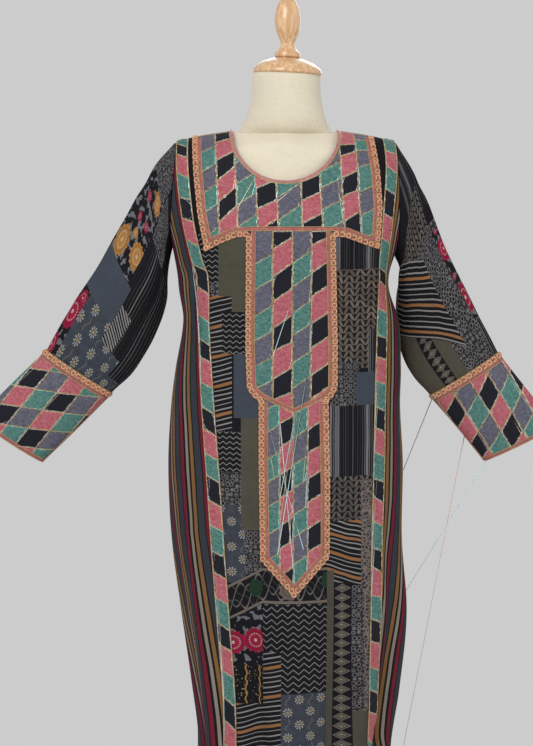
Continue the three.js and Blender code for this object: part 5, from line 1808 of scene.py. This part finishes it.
# fabric, from and to round it (0 back, 0.25 outer edge, 0.5 front, 0.75 inner edge), from and to down it
SLEEVE_PATCHES = {
    "left": [
        ("olive", 0, 0.24, 0, 0.3), ("leaves", 0, 0.24, 0.3, 0.62), ("zigzag", 0, 0.24, 0.62, 1),
        ("crackle", 0.78, 1, 0, 0.35), ("slate", 0.78, 1, 0.35, 0.62), ("pinstripe", 0.78, 1, 0.62, 1),
        ("left_flowers", 0.22, 0.49, 0.12, 0.58), ("rings", 0.25, 0.47, 0, 0.15),
        ("rings", 0.48, 0.62, 0.05, 0.3),
        ("thin_lines", 0.47, 0.78, 0.3, 1), ("slate", 0.22, 0.50, 0.58, 0.8),
        ("short_bars", 0.50, 0.58, 0.66, 0.84),
        ("daisies", 0.33, 0.50, 0.76, 1), ("daisies", 0.50, 0.64, 0.84, 1), ("daisies", 0.64, 0.72, 0.93, 1),
        ("left_flowers", 0.2, 0.335, 0.76, 1),
    ],
    "right": [
        ("slate", 0, 0.22, 0, 0.3), ("wide_zigzag", 0, 0.22, 0.3, 0.62), ("olive", 0, 0.22, 0.62, 1),
        ("crackle", 0.78, 1, 0, 0.45), ("zigzag", 0.78, 1, 0.45, 1), ("pinstripe", 0.22, 0.45, 0, 0.34),
        ("dark_leaves", 0.30, 0.78, 0.2, 0.58), ("rings", 0.22, 0.50, 0.42, 1),
        ("olive", 0.60, 0.78, 0.56, 1),
        ("olive", 0.475, 0.55, 0.66, 1), ("sleeve_diamonds", 0.546, 0.62, 0.6, 1),
        ("right_flowers", 0.2, 0.305, 0.46, 0.84), ("thin_lines", 0.22, 0.30, 0.86, 1),
    ],
}
# The right sleeve's bars lie across it at a slant: from x, to x, top and bottom at x 0, slope.
SLANTED_BARS = ("sleeve_bars", 156, 296, -303, -442, 0.95)


def make_sleeve(name):
    table, normals = sleeve_table(name)
    bm = cut_flat([(0, 0), (0, -SLEEVE_LENGTH), (SLEEVE_WIDTH, -SLEEVE_LENGTH), (SLEEVE_WIDTH, 0)])
    patches = [
        (fabric, a * SLEEVE_WIDTH, b * SLEEVE_WIDTH, -c * SLEEVE_LENGTH, -d * SLEEVE_LENGTH)
        for fabric, a, b, c, d in SLEEVE_PATCHES[name]
    ]
    if name == "right":
        patches.append(SLANTED_BARS)
    patch(bm, patches)
    crease_columns(bm, 90, 72)
    colour_patches(bm, patches)
    size, area = size_of(bm), flat_area(bm)
    lay(bm, lay_table(table, SLEEVE_WIDTH, SLEEVE_LENGTH, normals))
    bmesh.ops.remove_doubles(bm, verts=bm.verts, dist=0.00005)
    piece = give_thickness(to_object(bm, "sleeve_%s_cloth" % name, [FABRIC[f] for f in FABRIC_NAMES]), WALL)
    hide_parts("sleeve_" + name)


# A corner of the cuff's diamonds, the steps along its rows and down its columns, and the colours from there.
CUFF_LAY = {
    "left": ((110.0, -26.2), (30.5, 16.4), (4.8, -40.5), (H, P, T, N)),
    "right": ((114.8, -21.8), (35.7, -22.4), (5.0, -42.7), (N, T, P, H)),
}


def cuff_lattice(name):
    (x, y), (row_x, row_y), (column_x, column_y), cycle = CUFF_LAY[name]
    first_column, last_column, first_line, last_line = -6, 8, -8, 12
    edges, rows, colours = [], [], []
    for k in range(first_column, last_column + 1):
        corner = (x + k * row_x, y + k * row_y)
        edges.append(straight(corner, (corner[0] + column_x, corner[1] + column_y)))
    for k in range(first_column, last_column):
        left = [y + k * row_y + j * column_y for j in range(first_line, last_line)]
        rows.append([(level, level + row_y) for level in left])
        colours.append([cycle[(k + 2 * j) % 4] for j in range(first_line - 1, last_line)])
    return Lattice(edges, rows, colours)


def make_cuff(name):
    table, normals = cuff_table(name)
    outline = [(0, 0), (0, -CUFF_LENGTH), (CUFF_WIDTH, -CUFF_LENGTH), (CUFF_WIDTH, 0)]
    make_embroidery(
        "embroidered_cuff_" + name, "cuff_" + name, outline, cuff_lattice(name),
        lay_table(table, CUFF_WIDTH, CUFF_LENGTH, normals), wrap=True,
    )
    seam_edge = table[INNER_EDGE] + normals[INNER_EDGE] * 1.2
    thread_mesh("cuff_%s_piping" % name, [seam_edge], 1.5, PIPING, sides=2)


# ---------------------------------------------------------------- braid and binding
LOOP_PITCH = 10.2


def ring_of_cord(radius, cord, steps):
    bm = bmesh.new()
    upright = Matrix.Translation((radius, 0, 0)) @ Matrix.Rotation(math.pi / 2, 4, "X")
    made = bmesh.ops.create_circle(bm, segments=6, radius=cord, matrix=upright)
    edges = list({edge for vert in made["verts"] for edge in vert.link_edges})
    bmesh.ops.spin(
        bm, geom=made["verts"] + edges, axis=(0, 0, 1), cent=(0, 0, 0), steps=steps, angle=2 * math.pi,
        use_merge=True,
    )
    bmesh.ops.recalc_face_normals(bm, faces=bm.faces[:])
    return bm


def loop_unit():
    """One loop of braid: a small ring of cord."""
    return ring_of_cord(3.75 * MM, 1.2 * MM, 12)


def knot_unit():
    """The small pink ring in the middle of a loop."""
    return ring_of_cord(1.4 * MM, 0.85 * MM, 8)


def placings(spots, normals, rise):
    places = []
    for k, (spot, normal) in enumerate(zip(spots, normals)):
        ahead = spots[min(k + 1, len(spots) - 1)] - spots[max(k - 1, 0)]
        z = Vector(normal).normalized()
        x = Vector(ahead).normalized()
        y = z.cross(x).normalized()
        turn = Matrix((y.cross(z), y, z)).transposed().to_4x4()
        places.append(Matrix.Translation((Vector(spot) + z * rise) * MM) @ turn)
    return places


def loops_along(name, flat, place, rise=1.0):
    spots, normals = place(np.array(flat))
    places = placings(spots, normals, rise)
    rings = to_object(copies(loop_unit(), places), name + "_loops", [BRAID_CORD])
    knots = to_object(copies(knot_unit(), places), name + "_knots", [BRAID_KNOT])


def make_braid(name, path, sideways, node):
    """Braid along a path that is its outer edge; sideways is the way to its inner edge."""
    visible = [p for p in spaced(path, 3.0) if p[1] < ridge(p[0]) - 0.5]
    inner = beside(visible, sideways * BRAID_WIDTH)
    middle = beside(visible, sideways * BRAID_WIDTH / 2)
    bm = cut_flat(to_cloth(visible) + to_cloth(inner)[::-1])
    crease_grid(bm, 4.0)
    lay(bm, lay_centre(TRIM_LIFT))
    piece = give_thickness(to_object(bm, node + "_tape", [BRAID_GROUND]), TRIM)
    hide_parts(node)
    loops_along(node, spaced(to_cloth(middle), LOOP_PITCH), lay_centre(TRIM_LIFT))


def cuff_strip(name, start, towards, near, far, lift):
    """A strip round the cuff, from one distance to another from a ring."""
    rows = [between_rows(start, towards, d) for d in (near, far)]
    table, normals = tube_table([sleeve_ring(row, CUFF_TURNS) for row in rows], CUFF_TURNS, 4)
    bm = table_mesh(table + normals * lift, wrap=True)
    bmesh.ops.recalc_face_normals(bm, faces=bm.faces[:])
    return bm, lay_table(table, CUFF_WIDTH, far - near, normals, lift)


def make_cuff_braid(name):
    seam, first, hem = SLEEVE_RINGS[name][-1], *CUFF_RINGS[name]
    bm, place = cuff_strip(name, seam, first, 1.0, 1.0 + BRAID_WIDTH, TRIM_LIFT)
    piece = give_thickness(to_object(bm, "cuff_braid_%s_tape" % name, [BRAID_GROUND]), TRIM)
    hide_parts("cuff_braid_" + name)
    around = np.arange(0, CUFF_WIDTH - 1, CUFF_WIDTH / 29)
    loops_along("cuff_braid_" + name, [(x, -BRAID_WIDTH / 2) for x in around], place)
    upper = cuff_strip(name, seam, first, 1.3 + BRAID_WIDTH, 1.3 + BRAID_WIDTH + TAPE_WIDTH, TAPE_LIFT)
    lower = cuff_strip(name, hem, first, 0.3, 0.3 + TAPE_WIDTH, TAPE_LIFT)
    for place_name, (bm, place) in (("top", upper), ("hem", lower)):
        label = "cuff_%s_%s_tape" % (name, place_name)
        give_thickness(to_object(bm, label, [PINK_TAPE]), TAPE_THICKNESS)
        lines = [[(0, y), (CUFF_WIDTH, y)] for y in (-0.2, 0.2 - TAPE_WIDTH)]
        couch(label + "_gold_cord", lines, place, 0.7, 0.5)


def make_binding():
    front = neck_run(NECK_FRONT_DROP, 1.4, 60)
    back = neck_run(NECK_BACK_DROP, 1.4, 60)
    front_spots, _ = lay_centre(1.6)(np.array(front))
    back_spots, _ = lay_centre(1.6, True)(np.array(back))
    run = np.concatenate([front_spots, back_spots[::-1][1:-1]])
    run = spaced(np.concatenate([run, run[:1]]), 3.0)[:-1]
    piece = thread_mesh("rolled_neck_binding", [run], 2.3, BINDING, closed=True, sides=3)
    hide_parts("neck_binding")
    below = [p for p in neck_run(NECK_FRONT_DROP, BINDING_ROOM + 1.0, 48) if p[1] < yoke_edge_w(p[0])]
    couch("neck_gold_cord", [below], lay_centre(TRIM_LIFT))


# ---------------------------------------------------------------- putting it together
make_form()
make_stand()
front_outline = centre_outline(seam_front_left, seam_front_right, NECK_FRONT_DROP, False)
back_outline = centre_outline(seam_back, seam_back, NECK_BACK_DROP, True)
make_centre("front_cloth", "front_panel", front_outline, FRONT_PATCHES, False)
make_centre("back_cloth", "back_panel", back_outline, BACK_PATCHES, True)
for side, sign, seam in (("left", -1, seam_front_left), ("right", 1, seam_front_right)):
    make_side("side_front_" + side, lambda z: sign * seam(z), side, False)
    make_side("side_back_" + side, lambda z: sign * seam_back(z), side, True)
    make_sleeve(side)
    make_cuff(side)
    make_cuff_braid(side)
    make_band(side, seam, sign)
make_embroidery("embroidered_yoke", "yoke", yoke_outline(), YOKE_LATTICE, lay_centre(TRIM_LIFT))
make_embroidery("upper_placket", "placket_upper", upper_sides(), UPPER_LATTICE, lay_centre(TRIM_LIFT))
make_embroidery("lower_placket", "placket_lower", lower_outline(), LOWER_LATTICE, lay_centre(TRIM_LIFT))
lay_tape("yoke_tape", yoke_sides())
lay_tape("upper_placket_tape", upper_sides())
lay_tape("lower_placket_tape", [tuple(p) for p in inside_lower])
make_braid("left", BRAID_PATHS["left"], -1, "braid_left")
make_braid("right", BRAID_PATHS["right"], 1, "braid_right")
make_braid("lower", BRAID_PATHS["lower"], -1, "braid_lower")
make_binding()
make_sequins()


def make_floor():
    bm = bmesh.new()
    bmesh.ops.create_circle(bm, cap_ends=True, segments=96, radius=0.9)
    mesh = bpy.data.meshes.new("floor")
    bm.to_mesh(mesh)
    bm.free()
    material, bench, shader = new_finish("pale_floor", (0.6, 0.6, 0.6))
    place = bench.in_the_room()
    tone = bench.blend(bench.mottle(place, 0.6), (0.58, 0.58, 0.58), (0.64, 0.64, 0.64))
    bench.feed(shader.inputs["Base Color"], tone)
    shader.inputs["Roughness"].default_value = 0.8
    mesh.materials.append(material)
    floor = bpy.data.objects.new("floor", mesh)
    bpy.context.scene.collection.objects.link(floor)


make_floor()
